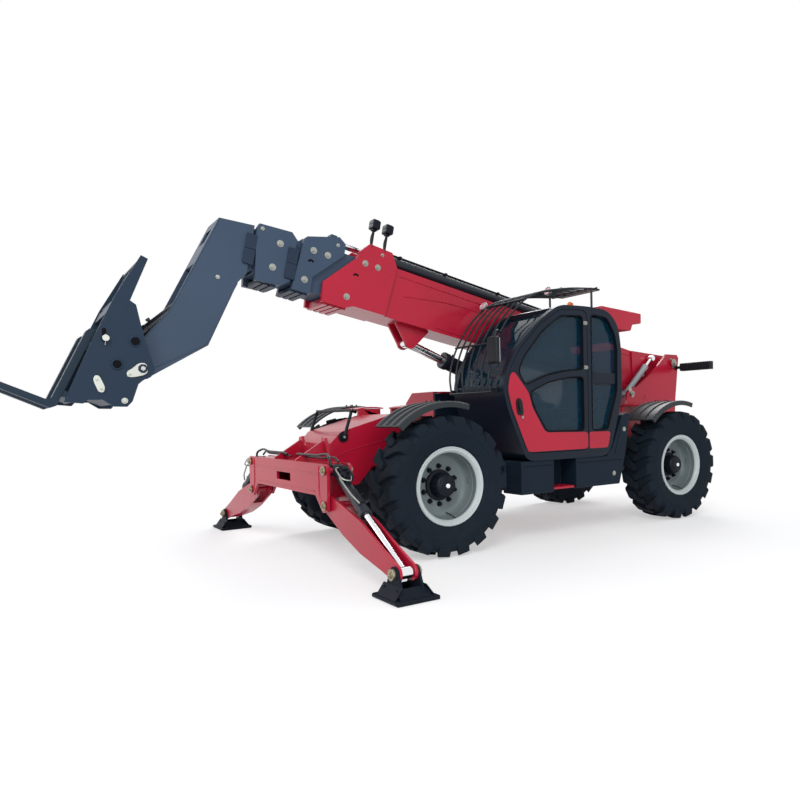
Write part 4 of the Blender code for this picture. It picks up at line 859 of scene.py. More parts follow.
# name, base, tip, across the pins, (barrel radius, rod radius, barrel length, base eye, tip eye,
# eye half width), where the rod begins inside the barrel, finish of the barrel
def rams():
    lift = BOOM @ Vector((3.6925, 0, -0.608))
    compensation = BOOM @ Vector((0.286, 0.26, 0.005))
    tilt_tip = CARRIAGE @ Vector((0.1243, 0, 0.1618))
    rows = [("lift", pivot("lift_swing"), lift, (0, 1, 0), (0.08, 0.045, 2.9, 0.08, 0.05, 0.055),
        0.4, "cylinder_paint"), ("compensation", pivot("compensation_swing"), compensation,
        (0, 1, 0), (0.036, 0.02, 0.53, 0.042, 0.034, 0.038), 0.14, "silver_paint"),
        ("tilt", pivot("tilt_swing"), tilt_tip, (0, 1, 0), (0.046, 0.026, 0.74, 0.05, 0.04, 0.043),
        0.12, "cylinder_paint"), ]
    for name in ("left", "right"):
        rows.append(("stabiliser_" + name, pivot("stabiliser_swing_" + name),
            pivot("foot_pivot_" + name), (1, 0, 0), (0.043, 0.026, 0.6, 0.048, 0.042, 0.044),
            0.465, "cylinder_paint"))
    return rows


def make_cylinders():
    for name, base, tip, across, sizes, start, look in rams():
        radius, rod_radius, length, base_eye, tip_eye, half = sizes
        lay_out = ram_frame(base, tip, across)
        reach = (Vector(tip) - Vector(base)).length
        barrel = barrel_shape(radius, rod_radius, length, base_eye * 0.6, base_eye, half)
        fit(barrel, name + "_barrel_tube", look, matrix=lay_out, node=name + "_barrel")
        stem = rod_shape(rod_radius, start, reach, tip_eye, half)
        fit(stem, name + "_rod_stem", "chrome", matrix=lay_out, node=name + "_rod")
    lay_out = BOOM @ shift((0, 0, 0.137)) @ turned(90, "Y")
    tube_shape = spun([(0, 0.75), (0.045, 0.75), (0.055, 0.76), (0.055, 4.22), (0.061, 4.225),
        (0.061, 4.285), (0.056, 4.298), (0.04, 4.3), (0.034, 4.296), (0.034, 4.27), (0, 4.27)], 48)
    ports = [tube_shape]
    for height in (0.8, 4.19):
        ports.append(bar((0, 0.05, height), (0, 0.068, height), 0.015, 16, 0.002))
    fit(ports, "extension_barrel_tube", "cylinder_paint", matrix=lay_out, node="extension_barrel")
    stem = spun([(0, 0.93), (0.032, 0.93), (0.032, 4.6), (0, 4.6)], 40)
    fit(stem, "extension_rod_stem", "chrome", matrix=lay_out, node="extension_rod")


class TELEHANDLER_OT_cylinders(bpy.types.Operator):
    """Makes the hydraulic cylinders with their glands, ports, eyes and polished rods"""
    bl_idname = "telehandler.cylinders"
    bl_label = "Hydraulic cylinders"

    def execute(self, context):
        make_cylinders()
        return {"FINISHED"}


def inset(outline, depth):
    """A closed anticlockwise outline moved inward."""
    made = []
    count = len(outline)
    for index, point in enumerate(outline):
        here = Vector(point)
        before = (here - Vector(outline[index - 1])).normalized()
        after = (Vector(outline[(index + 1) % count]) - here).normalized()
        square = Vector((-before.y, before.x))
        inward = (square + Vector((-after.y, after.x))).normalized()
        made.append(here + inward * (depth / inward.dot(square)))
    return made


def bolts(places, radius, height, axis=(0, 1, 0)):
    """Hex heads on washers at several points, all facing one way."""
    model = fused([bar((0, 0, -0.002), (0, 0, 0.004), radius * 1.45, 28, 0.001),
        bar((0, 0, 0.003), (0, 0, 0.004 + height), radius, 6, 0.002),
        bar((0, 0, 0.004), (0, 0, 0.01 + height), radius * 0.5, 18, 0.001)])
    return copied(model, [aimed(place, Vector(place) + Vector(axis)) for place in places])


def socket_ring(radius, height=0.008):
    """A raised ring round a dark hole, standing on the XY plane."""
    return spun([(radius * 0.72, 0.001), (radius * 0.72, height), (radius * 0.8, height + 0.002),
        (radius, height), (radius * 1.04, 0.0)], 40)


def make_chassis():
    dress("frame", "red_paint")
    dress("stabiliser_beam", "red_paint")
    for node in ("front_axle", "rear_axle"):
        dress(node, "axle_paint", 0.006)
    for corner in CORNERS:
        dress("knuckle_" + corner, "axle_paint", 0.006)

    # Pin ends on the rear tower: (x, z), radius of the head
    outer = 0.365
    heads = []
    for x, z, reach, radius in ((-2.38, 1.86, 0.035, 0.05), (-1.78, 0.82, 0.015, 0.042),
            (-1.6, 1.46, 0.015, 0.03)):
        heads.append(bar((x, outer + reach - 0.004, z), (x, outer + reach + 0.006, z), radius, 32,
            0.002))
        heads.append(bolts([(x, outer + reach + 0.006, z)], radius * 0.38, 0.008))
    keepers = [panel([(-2.44, 1.8), (-2.4, 1.79), (-2.33, 1.9), (-2.37, 1.93)], 0.02, 4,
        (outer, outer + 0.008), width=0.002), panel([(-1.64, 1.42), (-1.59, 1.41), (-1.52, 1.53),
        (-1.57, 1.56)], 0.025, 4, (outer, outer + 0.008), width=0.002)]
    fit(heads + keepers, "tower_pin_heads", "zinc", both=True)

    # Round lightening marks and a weld seam along the tower and the front legs of the frame
    marks = [bar((x, outer - 0.002, z), (x, outer + 0.004, z), radius, 32, 0.0015) for x, z,
        radius in ((-2.02, 1.18, 0.04), (-2.3, 1.3, 0.028), (-1.86, 1.42, 0.024))]
    seams = [tube([(x, outer + 0.001, z) for x, z in line], 0.004, 0.06, 4)
        for line in ([(-2.43, 1.16), (-2.1, 1.14), (-1.72, 1.2), (-1.53, 1.3)],
        [(1.24, 0.98), (1.75, 1.03), (2.2, 0.93), (2.35, 0.86)], [(-0.8, 0.66), (0.98, 0.66)])]
    fit(marks + seams, "frame_seams", "red_paint", both=True)

    # The stay that stands over the front of the frame, on a disc on each side plate
    stay = tube([(2.239, 0.392, 1.055), (2.16, 0.392, 1.292), (2.16, -0.392, 1.292),
        (2.239, -0.392, 1.055)], 0.014, 0.05, 5)
    discs = with_mirror(fused([bar((2.239, 0.364, 1.055), (2.239, 0.38, 1.055), 0.046, 36, 0.003),
        bar((2.239, 0.378, 1.055), (2.239, 0.4, 1.055), 0.024, 30, 0.003),
        bar((2.17, 0.376, 1.272), (2.15, 0.408, 1.298), 0.012, 16)]))
    fit([stay, discs], "frame_stay", "hub_black")
    stay_bolts = with_mirror(bolts([(2.239, 0.399, 1.055)], 0.009, 0.006))
    fit(stay_bolts, "frame_stay_bolts", "zinc")

    # Steering cylinders and covers on the axles
    level, flange = 0.615, 0.128
    for title, x, toward in (("front", 1.5835, -1), ("rear", -1.5835, 1)):
        ram_x = x + toward * 0.13
        across = [bar((ram_x, -half, level), (ram_x, half, level), radius, sides, 0.003) for half,
            radius, sides in ((0.3, 0.034, 32), (0.33, 0.04, 8))]
        ribs = [bar((x, side * y, level), (x, side * (y + 0.012), level), radius, 32, 0.003)
            for side in (-1, 1) for y, radius in ((0.155, flange), (0.34, flange), (0.41, 0.108))]
        fit(across + ribs, title + "_axle_ribs", "axle_paint", title + "_axle")
        screws = [(x + flange * math.cos(turn) * 0.9, 0.167, level + flange * math.sin(turn) * 0.9)
            for turn in (math.tau * step / 10 for step in range(10))]
        fit(bolts(screws, 0.007, 0.006), title + "_axle_bolts", "zinc", title + "_axle", both=True)


class TELEHANDLER_OT_chassis(bpy.types.Operator):
    """Dresses the welded frame, the axles, the knuckles and the stabiliser beam"""
    bl_idname = "telehandler.chassis"
    bl_label = "Chassis"

    def execute(self, context):
        make_chassis()
        return {"FINISHED"}


def make_boom():
    dress("boom_outer", "red_paint")
    for node in ("boom_second", "boom_third", "boom_inner"):
        dress(node, "slate_paint")

    # section, plate face, large bolts and small bolts as (along, up)
    rows = (("outer", 0.215, ((4.359, -0.031), (4.228, -0.031), (4.49, -0.39)), ((4.2, 0.1),)),
        ("second", 0.205, ((4.858, -0.072), (4.723, -0.072), (4.898, -0.351)), ((4.643, 0.049),)),
        ("third", 0.19, ((5.152, -0.105), (5.184, -0.326)), ((5.319, -0.029),)),
        ("inner", 0.167, (), ((5.6, -0.538),)), )
    for title, face, large, small in rows:
        made = [bolts(on_side(places, face), radius, height) for places, radius,
            height in ((large, 0.021, 0.012), (small, 0.012, 0.008)) if places]
        fit(made, "boom_%s_bolts" % title, "zinc", "boom_" + title, BOOM, both=True)

    # Half-moon openings, drawn as thin dark plates of painted shade on the face: section, plate face, middle
    for title, face, u, v in (("outer", 0.215, 4.43, -0.184), ("second", 0.205, 4.865, -0.188)):
        ring = [(u + 0.034 * math.cos(t), v + 0.034 * math.sin(t))
            for t in (math.radians(20 + 14 * step) for step in range(10))]
        back = [(u + 0.02 * math.cos(t), v - 0.006 + 0.02 * math.sin(t))
            for t in (math.radians(146 - 14 * step) for step in range(10))]
        moon = plate(ring + back, (face - 0.002, face + 0.001), width=0.0008, segments=1)
        fit(moon, "boom_%s_openings" % title, "seal_rubber_and_hole_shade", "boom_" + title, BOOM, both=True)

    # Guide boxes beside the heads, each in two halves: section, start, end, low, high, face
    for title, u0, u1, v0, v1, face in (("second", 4.985, 5.075, -0.385, -0.11, 0.212),
            ("third", 5.345, 5.435, -0.36, -0.1, 0.192)):
        middle = (v0 + v1) / 2
        halves = [block((u0, face - 0.017, v0), (u1, face, middle - 0.0015), 0.005),
            block((u0, face - 0.017, middle + 0.0015), (u1, face, v1), 0.005),
            block((u0 + 0.006, face - 0.016, v0 + 0.01), (u1 - 0.006, face - 0.006, v1 - 0.01))]
        fit(halves, "boom_%s_guides" % title, "guide_paint", "boom_" + title, BOOM, both=True)

    # Wear pad holders under the heads
    low, pitch, thick = -0.458, 0.058, 0.046
    for title, u0, count, drop, half, look in (("outer", 4.47, 4, 0.054, 0.19, "red_paint"),
            ("second", 4.84, 3, 0.02, 0.17, "guide_paint"), ("third", 5.12, 3, 0.024, 0.15,
            "guide_paint")):
        starts = [u0 + pitch * step for step in range(count)]
        made = [block((u, -half, low - drop), (u + thick, half, low + 0.012), 0.005)
            for u in starts]
        fit(made, "boom_%s_pad_holders" % title, look, "boom_" + title, BOOM)

    # Pressed lines along the outer section's sides
    side = 0.1805
    lines = [[(0.62, side, -0.03), (3.98, side, -0.03)], [(0.52, side, -0.415),
        (3.5, side, -0.415)], on_side([(0.75, -0.33), (1.25, -0.235), (1.85, -0.205),
        (2.55, -0.225), (2.95, -0.3)], side), on_side([(0.75, -0.345), (1.25, -0.252),
        (1.85, -0.222), (2.55, -0.242), (2.9, -0.31)], side), on_side([(2.75, -0.12),
        (3.35, -0.12), (3.9, -0.21)], side)]
    fit([tube(line, 0.006, 0.35, 8) for line in lines], "boom_pressed_lines", "red_paint",
        "boom_outer", BOOM, both=True)

    # Pipe clamped along the extension cylinder
    pipe = [tube(on_side([(0.95, 0.16), (1.05, 0.205), (4.05, 0.205), (4.16, 0.175)], y), 0.008,
        0.06, 5) for y in (0.0, 0.024)]
    clamps = [block((u, -0.016, 0.19), (u + 0.03, 0.04, 0.219), 0.004)
        for u in (1.25, 1.95, 2.65, 3.35, 3.9)]
    fit(pipe + clamps, "boom_pipes", "hub_black", "boom_outer", BOOM)

    # Two working lamps on stalks
    housings, lenses = [], []
    for u in (4.18, 4.32):
        housings.append(block((u - 0.034, 0.147, 0.316), (u + 0.034, 0.243, 0.404), 0.009, 3))
        housings += [block((u - 0.046, 0.153 + 0.013 * fin, 0.322),
            (u - 0.03, 0.157 + 0.013 * fin, 0.398), 0.0015) for fin in range(7)]
        housings.append(bar((u, 0.197, 0.14), (u, 0.197, 0.32), 0.0125, 20))
        housings.append(block((u - 0.022, 0.175, 0.298), (u + 0.022, 0.219, 0.318), 0.004))
        housings.append(bar((u, 0.197, 0.14), (u, 0.197, 0.158), 0.022, 6, 0.002))
        housings.append(tube([(u + 0.012, 0.205, 0.15), (u + 0.03, 0.215, 0.22),
            (u + 0.005, 0.21, 0.31)], 0.004, 0.05))
        lenses += [block((u + 0.031, 0.156 + 0.028 * row, 0.326 + 0.036 * line),
            (u + 0.038, 0.179 + 0.028 * row, 0.357 + 0.036 * line), 0.003) for row in range(3)
            for line in range(2)]
    fit(housings, "boom_lamps", "hub_black", "boom_outer", BOOM)
    fit(lenses, "boom_lamp_lenses", "lamp_lens", "boom_outer", BOOM)

    # Edge strip and weld lines of the gooseneck
    half = 0.168
    edge = on_side([(5.665, -0.06), (5.905, -0.905), (6.04, -1.15)], half)
    foot = on_side([(5.44, -0.545), (5.48, -0.675), (5.59, -1.105), (5.97, -1.4)], half)
    fit([tube(edge, 0.004, 0.05), tube(foot, 0.004, 0.05)], "gooseneck_welds", "slate_paint",
        "boom_inner", BOOM, both=True)


class TELEHANDLER_OT_boom(bpy.types.Operator):
    """Dresses the boom sections and adds their bolts, seams, pads, lamps and pipes"""
    bl_idname = "telehandler.boom"
    bl_label = "Boom"

    def execute(self, context):
        make_boom()
        return {"FINISHED"}


def make_carriage():
    dress("carriage", "carriage_paint", 0.003)
    for node in ("fork_left", "fork_right"):
        dress(node, "fork_steel")
    face = 0.41

    keeper = eased([(3.8, 1.575), (3.905, 1.548), (3.945, 1.555), (3.945, 1.592), (3.905, 1.615),
        (3.862, 1.658), (3.81, 1.655)], 0.05, 5, True)
    bright = [plate(keeper, (face, face + 0.01), width=0.002)]
    bright.append(bolts([(3.837, face + 0.009, 1.615)], 0.018, 0.01))
    bright.append(bolts([(3.924, face + 0.009, 1.571)], 0.008, 0.005))
    bright.append(bolts([(3.962, face, 1.378)], 0.015, 0.01))
    latch = eased([(4.15, 1.56), (4.12, 1.558), (4.085, 1.475), (4.095, 1.435), (4.128, 1.44),
        (4.16, 1.525)], 0.02, 4, True)
    bright.append(plate(latch, (face, face + 0.012), width=0.003))
    bright.append(bolts([(4.134, face + 0.011, 1.53), (4.108, face + 0.011, 1.462)], 0.008, 0.006))
    bright.append(bar((4.074, face - 0.002, 1.826), (4.074, face + 0.038, 1.826), 0.024, 32,
        0.003))
    bright.append(tube([(4.074, face + 0.028, 1.856), (4.077, face + 0.028, 1.8),
        (4.08, face + 0.032, 1.775)], 0.0025, 0.01))
    fit(bright, "carriage_keepers", "zinc", "carriage", both=True)

    turn = turned(-90, "X")
    rings, hole_shades = [], []
    for x, z in ((3.882, 1.814), (4.004, 1.642)):
        place = shift((x, face, z)) @ turn
        rings.append(lay(socket_ring(0.04), place))
        # a dark disc in each ring is painted shade of the hole
        hole_shades.append(bar((x, face - 0.002, z), (x, face + (0.0115 if z > 1.7 else 0.002), z),
            0.029, 32))
    fit(rings, "carriage_sockets", "carriage_paint", "carriage", both=True)
    # the slot is a dark plate of painted shade
    slot = panel([(4.066, 1.9), (4.066, 1.845), (4.094, 1.845), (4.094, 1.9)], 0.012, 4,
        (face - 0.002, face + 0.0012))
    fit(hole_shades + [slot], "carriage_hole_shade", "seal_rubber_and_hole_shade", "carriage", both=True)

    # The upright bars and the rails of the load guard, in the carriage's axes
    uprights = [block((0.318, y - 0.012, 0.38), (0.331, y + 0.012, 0.755), 0.003)
        for y in (-0.24, -0.08, 0.08, 0.24)]
    rails = [block((0.3, -0.381, 0.735), (0.336, 0.381, 0.762), 0.004),
        block((0.33, -0.381, 0.395), (0.356, 0.381, 0.425), 0.004)]
    fit(uprights + rails, "carriage_guard_bars", "carriage_paint", "carriage", CARRIAGE)

    # Collars of the forks' eyes, and a weld line on each heel
    for side, node in ((1, "fork_left"), (-1, "fork_right")):
        middle = side * 0.27
        collars = [lay(spun([(0.029, 0), (0.046, 0), (0.05, 0.004), (0.05, 0.01), (0.029, 0.012)],
            36), shift((0.3036, middle + turn_side * 0.062, 0.0921)) @ turned(-90 * turn_side,
            "X")) for turn_side in (-1, 1)]
        heel = tube([(0.38, middle, 0.02), (0.38, middle, -0.02)], 0.006, 0.01)
        fit(collars + [heel], node + "_collars", "fork_steel", node, CARRIAGE)


class TELEHANDLER_OT_carriage(bpy.types.Operator):
    """Dresses the carriage and its forks with their keepers, latch and lock pins"""
    bl_idname = "telehandler.carriage"
    bl_label = "Carriage and forks"

    def execute(self, context):
        make_carriage()
        return {"FINISHED"}


def make_stabilisers():
    leg_x = pivot("foot_pivot_left").x
    for name in ("left", "right"):
        side = 1 if name == "left" else -1
        dress("leg_" + name, "red_paint", 0.005)
        dress("foot_" + name, "foot_paint")
        foot = pivot("foot_pivot_" + name)
        rim = []
        for way in (-1, 1):
            rim.append(bar(foot + Vector((way * 0.088, 0, 0)), foot + Vector((way * 0.112, 0, 0)),
                0.04, 32, 0.003))
            rim.append(bolts([foot + Vector((way * 0.112, 0, 0))], 0.017, 0.01, axis=(way, 0, 0)))
        fit(rim, "foot_pins_" + name, "brass", "foot_" + name, STILL)
        # Turned-up edge round the pad
        across = sorted((foot.y - side * 0.172, foot.y + side * 0.181))
        edge = rectangle(leg_x - 0.158, leg_x + 0.158, *across, 0.016)
        ribs = [block((leg_x - 0.15, y - 0.006, 0.02), (leg_x + 0.15, y + 0.006, 0.034), 0.003)
            for y in (foot.y - 0.105, foot.y + 0.105)]
        middle = shift((leg_x, foot.y, 0))
        ribs += [lay(plate([(-0.15, 0.022), (-0.085, 0.088), (-0.085, 0.078), (-0.135, 0.022)],
            (-0.118, 0.118), "x"), middle @ Matrix.Scale(flip, 4, (0, 1, 0))) for flip in (-1, 1)]
        ribs += [lay(plate([(0.155, 0.022), (0.092, 0.105), (0.092, 0.095), (0.14, 0.022)],
            (-0.128, 0.128)), middle @ Matrix.Scale(flip, 4, (1, 0, 0))) for flip in (-1, 1)]
        fit([tube(edge, 0.012, 0.02, 4, 3, True)] + ribs, "foot_edge_" + name, "foot_paint",
            "foot_" + name, STILL)

        lay_out = ram_frame(pivot("stabiliser_swing_" + name), foot, (1, 0, 0))
        lay_out = lay_out @ hand_of(name)
        valve = [block((-0.042, -0.098, 0.075), (0.042, -0.036, 0.225), 0.006),
            block((-0.03, -0.112, 0.1), (0.03, -0.09, 0.15), 0.005),
            bar((0.0, -0.098, 0.19), (0.0, -0.125, 0.19), 0.014, 6, 0.001),
            bar((0.042, -0.07, 0.12), (0.062, -0.07, 0.12), 0.014, 6, 0.001),
            bar((0.042, -0.07, 0.18), (0.062, -0.07, 0.18), 0.012, 6, 0.001),
            block((-0.02, -0.052, 0.33), (0.02, -0.036, 0.5), 0.004)]
        fit(valve, "stabiliser_valve_" + name, "hub_black", "stabiliser_%s_barrel" % name, lay_out)
        pipe = tube([(0.058, -0.07, 0.18), (0.075, -0.075, 0.22), (0.06, -0.062, 0.42),
            (0.03, -0.05, 0.515)], 0.007, 0.03)
        loop = tube([(0.05, -0.1, 0.11), (0.085, -0.105, 0.13), (0.085, -0.105, 0.27),
            (0.02, -0.1, 0.3), (-0.02, -0.09, 0.21)], 0.006, 0.03)
        fit([pipe, loop], "stabiliser_pipes_" + name, "zinc", "stabiliser_%s_barrel" % name,
            lay_out)

    # Pins of the legs and of their cylinders, front and rear of the beam
    heads = []
    for way in (-1, 1):
        for y in (-0.907, 0.907):
            for z in (0.528, 0.808):
                at = Vector((leg_x + way * 0.118, y, z))
                heads.append(bar(at - Vector((way * 0.006, 0, 0)), at + Vector((way * 0.004, 0,
                    0)), 0.038, 32, 0.002))
                heads.append(bolts([at + Vector((way * 0.003, 0, 0))], 0.018, 0.01,
                    axis=(way, 0, 0)))
    fit(heads, "beam_pin_heads", "brass", matrix=STILL)

    # Pipes along the beam to the cylinders, and the stiffening rolls of its front plate
    runs = [tube([(leg_x + 0.02, 0.12, 0.9), (leg_x + 0.03, 0.16, 0.915),
        (leg_x + 0.03, 0.6, 0.915), (leg_x + 0.02, 0.78, 0.935), (leg_x + 0.05, 0.885, 0.9),
        (leg_x + 0.045, 0.905, 0.84)], 0.01, 0.06, 6), tube([(leg_x - 0.02, 0.12, 0.88),
        (leg_x, 0.2, 0.893), (leg_x, 0.66, 0.893), (leg_x - 0.02, 0.82, 0.91),
        (leg_x - 0.02, 0.9, 0.87)], 0.009, 0.06, 6)]
    fit(runs, "beam_pipes", "pipe_black", matrix=STILL, both=True)
    front = leg_x + 0.105
    rolls = [tube([(front, -0.7, 0.63), (front, 0.7, 0.63)], 0.006),
        tube([(front, -0.8, 0.775), (front, 0.8, 0.775)], 0.005),
        tube([(front, 0.8, 0.84), (front, 0.8, 0.62), (front, 0.845, 0.52)], 0.006, 0.03),
        tube([(front, -0.8, 0.84), (front, -0.8, 0.62), (front, -0.845, 0.52)], 0.006, 0.03)]
    fit(rolls, "beam_rolls", "red_paint", matrix=STILL)


class TELEHANDLER_OT_stabilisers(bpy.types.Operator):
    """Dresses the stabiliser legs and feet with their pins, valves and pipes"""
    bl_idname = "telehandler.stabilisers"
    bl_label = "Stabilisers"

    def execute(self, context):
        make_stabilisers()
        return {"FINISHED"}


# The cab, from the middle of the wheelbase: (x, z) outlines and the span of y
CAB_LOW, CAB_HIGH = 0.27, 1.09
CAB_OUTLINE = [(0.715, 0.78), (0.93, 1.26), (0.985, 1.46), (0.95, 1.63), (0.83, 1.84),
    (0.546, 2.117), (0.27, 2.294), (-0.14, 2.307), (-0.42, 2.287), (-0.57, 2.14), (-0.61, 1.9),
    (-0.615, 1.4), (-0.44, 0.86), (-0.36, 0.78)]
DOOR_OUTLINE = [(-0.105, 0.86), (0.7, 0.86), (0.895, 1.28), (0.945, 1.46), (0.912, 1.62),
    (0.8, 1.815), (0.53, 2.08), (0.26, 2.248), (-0.105, 2.262)]
UPPER_PANE = [(-0.045, 1.665), (0.15, 1.655), (0.45, 1.6), (0.72, 1.5), (0.8, 1.63), (0.73, 1.77),
    (0.5, 2.02), (0.25, 2.19), (-0.045, 2.205)]
LOWER_PANE = [(-0.045, 1.05), (0.46, 1.06), (0.62, 1.3), (0.665, 1.435), (0.42, 1.535),
    (0.15, 1.585), (-0.045, 1.595)]
REAR_PANE = [(-0.545, 1.9), (-0.535, 1.45), (-0.39, 1.05), (-0.165, 1.05), (-0.165, 2.23),
    (-0.4, 2.21), (-0.51, 2.05)]
RIGHT_PANE = [(-0.42, 1.2), (0.62, 1.2), (0.8, 1.52), (0.76, 1.76), (0.5, 2.04), (0.25, 2.2),
    (-0.4, 2.2), (-0.52, 2.05), (-0.53, 1.45)]
DOOR_SWOOSH = [(0.858, 1.63), (0.681, 1.43), (0.64, 1.293), (0.478, 1.048), (-0.098, 1.038),
    (-0.098, 0.868), (0.69, 0.868), (0.712, 0.9), (0.884, 1.283), (0.93, 1.455), (0.905, 1.59)]
REAR_SWOOSH = [(-0.118, 0.868), (-0.118, 1.036), (-0.405, 1.036), (-0.425, 1.01), (-0.388, 0.88),
    (-0.37, 0.868)]


def cushion(low, high, crown):
    """A closed padded form: crowned on every face, with sides that pull in between its corners."""
    low, high = Vector(low), Vector(high)
    rest()
    bpy.ops.mesh.primitive_cube_add(size=2)
    piece = bpy.context.object
    edit_all(piece)
    bpy.ops.mesh.subdivide(number_cuts=11)
    rest()
    half = (high - low) / 2
    for vertex in piece.data.vertices:
        x, y, z = vertex.co
        round_x = x * math.sqrt(1 - y * y * 0.1 - z * z * 0.3)
        round_y = y * math.sqrt(1 - x * x * 0.1 - z * z * 0.3)
        flat = 0.8 + 0.2 * (1 - x ** 4) * (1 - y ** 4)
        round_z = z * flat + crown * z * (1 - x * x) * (1 - y * y)
        pull_x = 1 - 0.025 * (1 - y * y) * abs(x)
        pull_y = 1 - 0.025 * (1 - x * x) * abs(y)
        vertex.co = Vector((round_x * pull_x * half.x, round_y * pull_y * half.y,
            round_z * half.z))
        vertex.co += (low + high) / 2
    modify(piece, "SUBSURF", levels=1, render_levels=1)
    return piece


def make_cab():
    wall = 0.04
    through = (CAB_HIGH - 0.1, CAB_HIGH + 0.1)
    inside = (CAB_LOW + wall, CAB_HIGH - wall)
    view = (inside[0] + 0.025, inside[1] - 0.025)
    shell = panel(CAB_OUTLINE, 0.1, 6, (CAB_LOW, CAB_HIGH), width=0.022, segments=4)
    doorway = eased(inset(DOOR_OUTLINE, -0.006), 0.09, 6, True)
    screen = [(0.8, 1.5), (1.2, 1.5), (1.2, 2.6), (0.3, 2.6), (0.3, 2.2), (0.5, 1.95)]
    cut(shell, panel(inset(CAB_OUTLINE, wall), 0.08, 6, inside), plate(doorway, through),
        panel(REAR_PANE, 0.06, 5, through), panel(RIGHT_PANE, 0.06, 5,
        (CAB_LOW - 0.1, CAB_LOW + 0.1)), plate(screen, view), block((-0.34, view[0], 2.2),
        (0.22, view[1], 2.4)), block((-0.75, view[0], 1.45), (-0.5, view[1], 1.98)))
    fit(shell, "cab_frame", "cab_paint", node="cab_shell", angle=32)

    door = panel(DOOR_OUTLINE, 0.09, 6, (CAB_HIGH - wall, CAB_HIGH), width=0.01, segments=3)
    cut(door, panel(UPPER_PANE, 0.05, 5, through), panel(LOWER_PANE, 0.05, 5, through))
    fit(door, "cab_door_frame", "cab_paint", node="cab_door", angle=32)

    gaskets = fused([tube(on_side(pane, CAB_HIGH - 0.001), 0.007, 0.05, 5, 2, True)
        for pane in (UPPER_PANE, LOWER_PANE)])
    fit(gaskets, "door_gaskets", "seal_rubber_and_hole_shade", "cab_door", slot="rubber")
    seals = [tube(on_side(REAR_PANE, CAB_HIGH - 0.001), 0.007, 0.05, 5, 2, True),
        tube(on_side(inset(DOOR_OUTLINE, -0.003), CAB_HIGH - 0.006), 0.0035, 0.09, 6, 2, True),
        tube(on_side(RIGHT_PANE, CAB_LOW + 0.001), 0.007, 0.05, 5, 2, True)]
    fit(seals, "cab_seals", "seal_rubber_and_hole_shade", slot="rubber")

    skin = (CAB_HIGH - 0.003, CAB_HIGH + 0.0025)
    fit(panel(DOOR_SWOOSH, 0.045, 5, skin, width=0.002), "door_panel", "red_paint", "cab_door")
    fit(panel(REAR_SWOOSH, 0.02, 4, skin, width=0.002), "cab_side_panel", "red_paint")
    fit(block((-0.552, CAB_HIGH - 0.03, 1.527), (-0.158, CAB_HIGH - 0.012, 1.638), 0.004),
        "cab_side_band", "cab_paint")

    cup = panel([(0.752, 1.235), (0.778, 1.212), (0.825, 1.225), (0.842, 1.33), (0.832, 1.372),
        (0.795, 1.38), (0.766, 1.345)], 0.03, 5, (CAB_HIGH, CAB_HIGH + 0.01), width=0.004)
    lever = panel([(0.774, 1.25), (0.8, 1.245), (0.822, 1.34), (0.805, 1.358), (0.79, 1.35)],
        0.012, 4, (CAB_HIGH + 0.008, CAB_HIGH + 0.022), width=0.005)
    fit([cup, lever], "door_handle", "moulded_plastic", "cab_door")
    locks = [bar((0.768, CAB_HIGH, 1.198), (0.768, CAB_HIGH + 0.014, 1.198), 0.013, 28, 0.002)]
    for z in (2.134, 1.688):
        locks.append(block((-0.1, CAB_HIGH - 0.002, z - 0.018), (-0.05, CAB_HIGH + 0.01,
            z + 0.018), 0.004))
        locks.append(bolts([(-0.062, CAB_HIGH + 0.009, z), (-0.088, CAB_HIGH + 0.009, z)], 0.009,
            0.005))
    fit(locks, "door_lock_and_hinges", "zinc", "cab_door")

    # A curved windscreen that runs over the roof, in the same place as the flat panes
    behind, deeper = inset(CAB_OUTLINE, wall + 0.0003), inset(CAB_OUTLINE, wall + 0.0063)
    lines = [eased([line[index] for index in range(2, 9)], 0.1, 6) for line in (behind, deeper)]
    pane = plate(lines[0] + lines[1][::-1], (inside[0] + 0.0003, inside[1] - 0.0003))
    fit(pane, "windscreen", "glass", node="cab_windscreen")
    for node in ("cab_glass_quarter", "cab_glass_right", "cab_glass_rear", "door_glass"):
        frame["nodes"][node].material_slots[0].material = finish("glass")

    # Bent bars before the windscreen and over the roof
    profile = [(1.045, 1.44), (1.07, 1.62), (1.0, 1.86), (0.82, 2.14), (0.62, 2.33), (0.4, 2.43),
        (0.0, 2.5), (-0.36, 2.53)]
    first, last = 0.33, 0.97
    bars = [tube([(x, first + (last - first) * step / 6, z) for x, z in profile], 0.0095, 0.12, 6,
        2) for step in range(7)]
    for index in (0, 4, 7):
        x, z = profile[index]
        bars.append(tube([(x, first - 0.02, z), (x, last + 0.02, z)], 0.013))
    for x, z in ((0.985, 1.9), (0.12, 2.485)):
        bars.append(tube([(x, first, z), (x, last, z)], 0.01))
    for y in (first, last):
        bars.append(tube([(1.045, y, 1.47), (0.97, y, 1.46)], 0.012))
        bars.append(tube([(-0.3, y, 2.525), (-0.3, y, 2.3)], 0.012))
        bars.append(block((0.955, y - 0.025, 1.43), (0.992, y + 0.025, 1.49), 0.004))
        bars.append(block((-0.33, y - 0.022, 2.296), (-0.27, y + 0.022, 2.312), 0.004))
    bars.append(block((-0.46, 0.36, 2.52), (-0.3, 0.94, 2.542), 0.006))
    for z, x in ((1.9, 0.974), (2.0, 0.91)):
        bars.append(tube([(x, last, z), (1.05, 1.09, z), (1.09, 1.09, 1.9)], 0.009, 0.04))
    fit(bars, "cab_guard_bars", "pipe_black", node="cab_guard")
    fit(block((1.06, 1.02, 1.69), (1.118, 1.16, 1.935), 0.022, 4), "mirror_housing",
        "moulded_plastic")
    fit(block((1.056, 1.034, 1.706), (1.062, 1.146, 1.919), 0.002), "mirror_glass", "chrome")

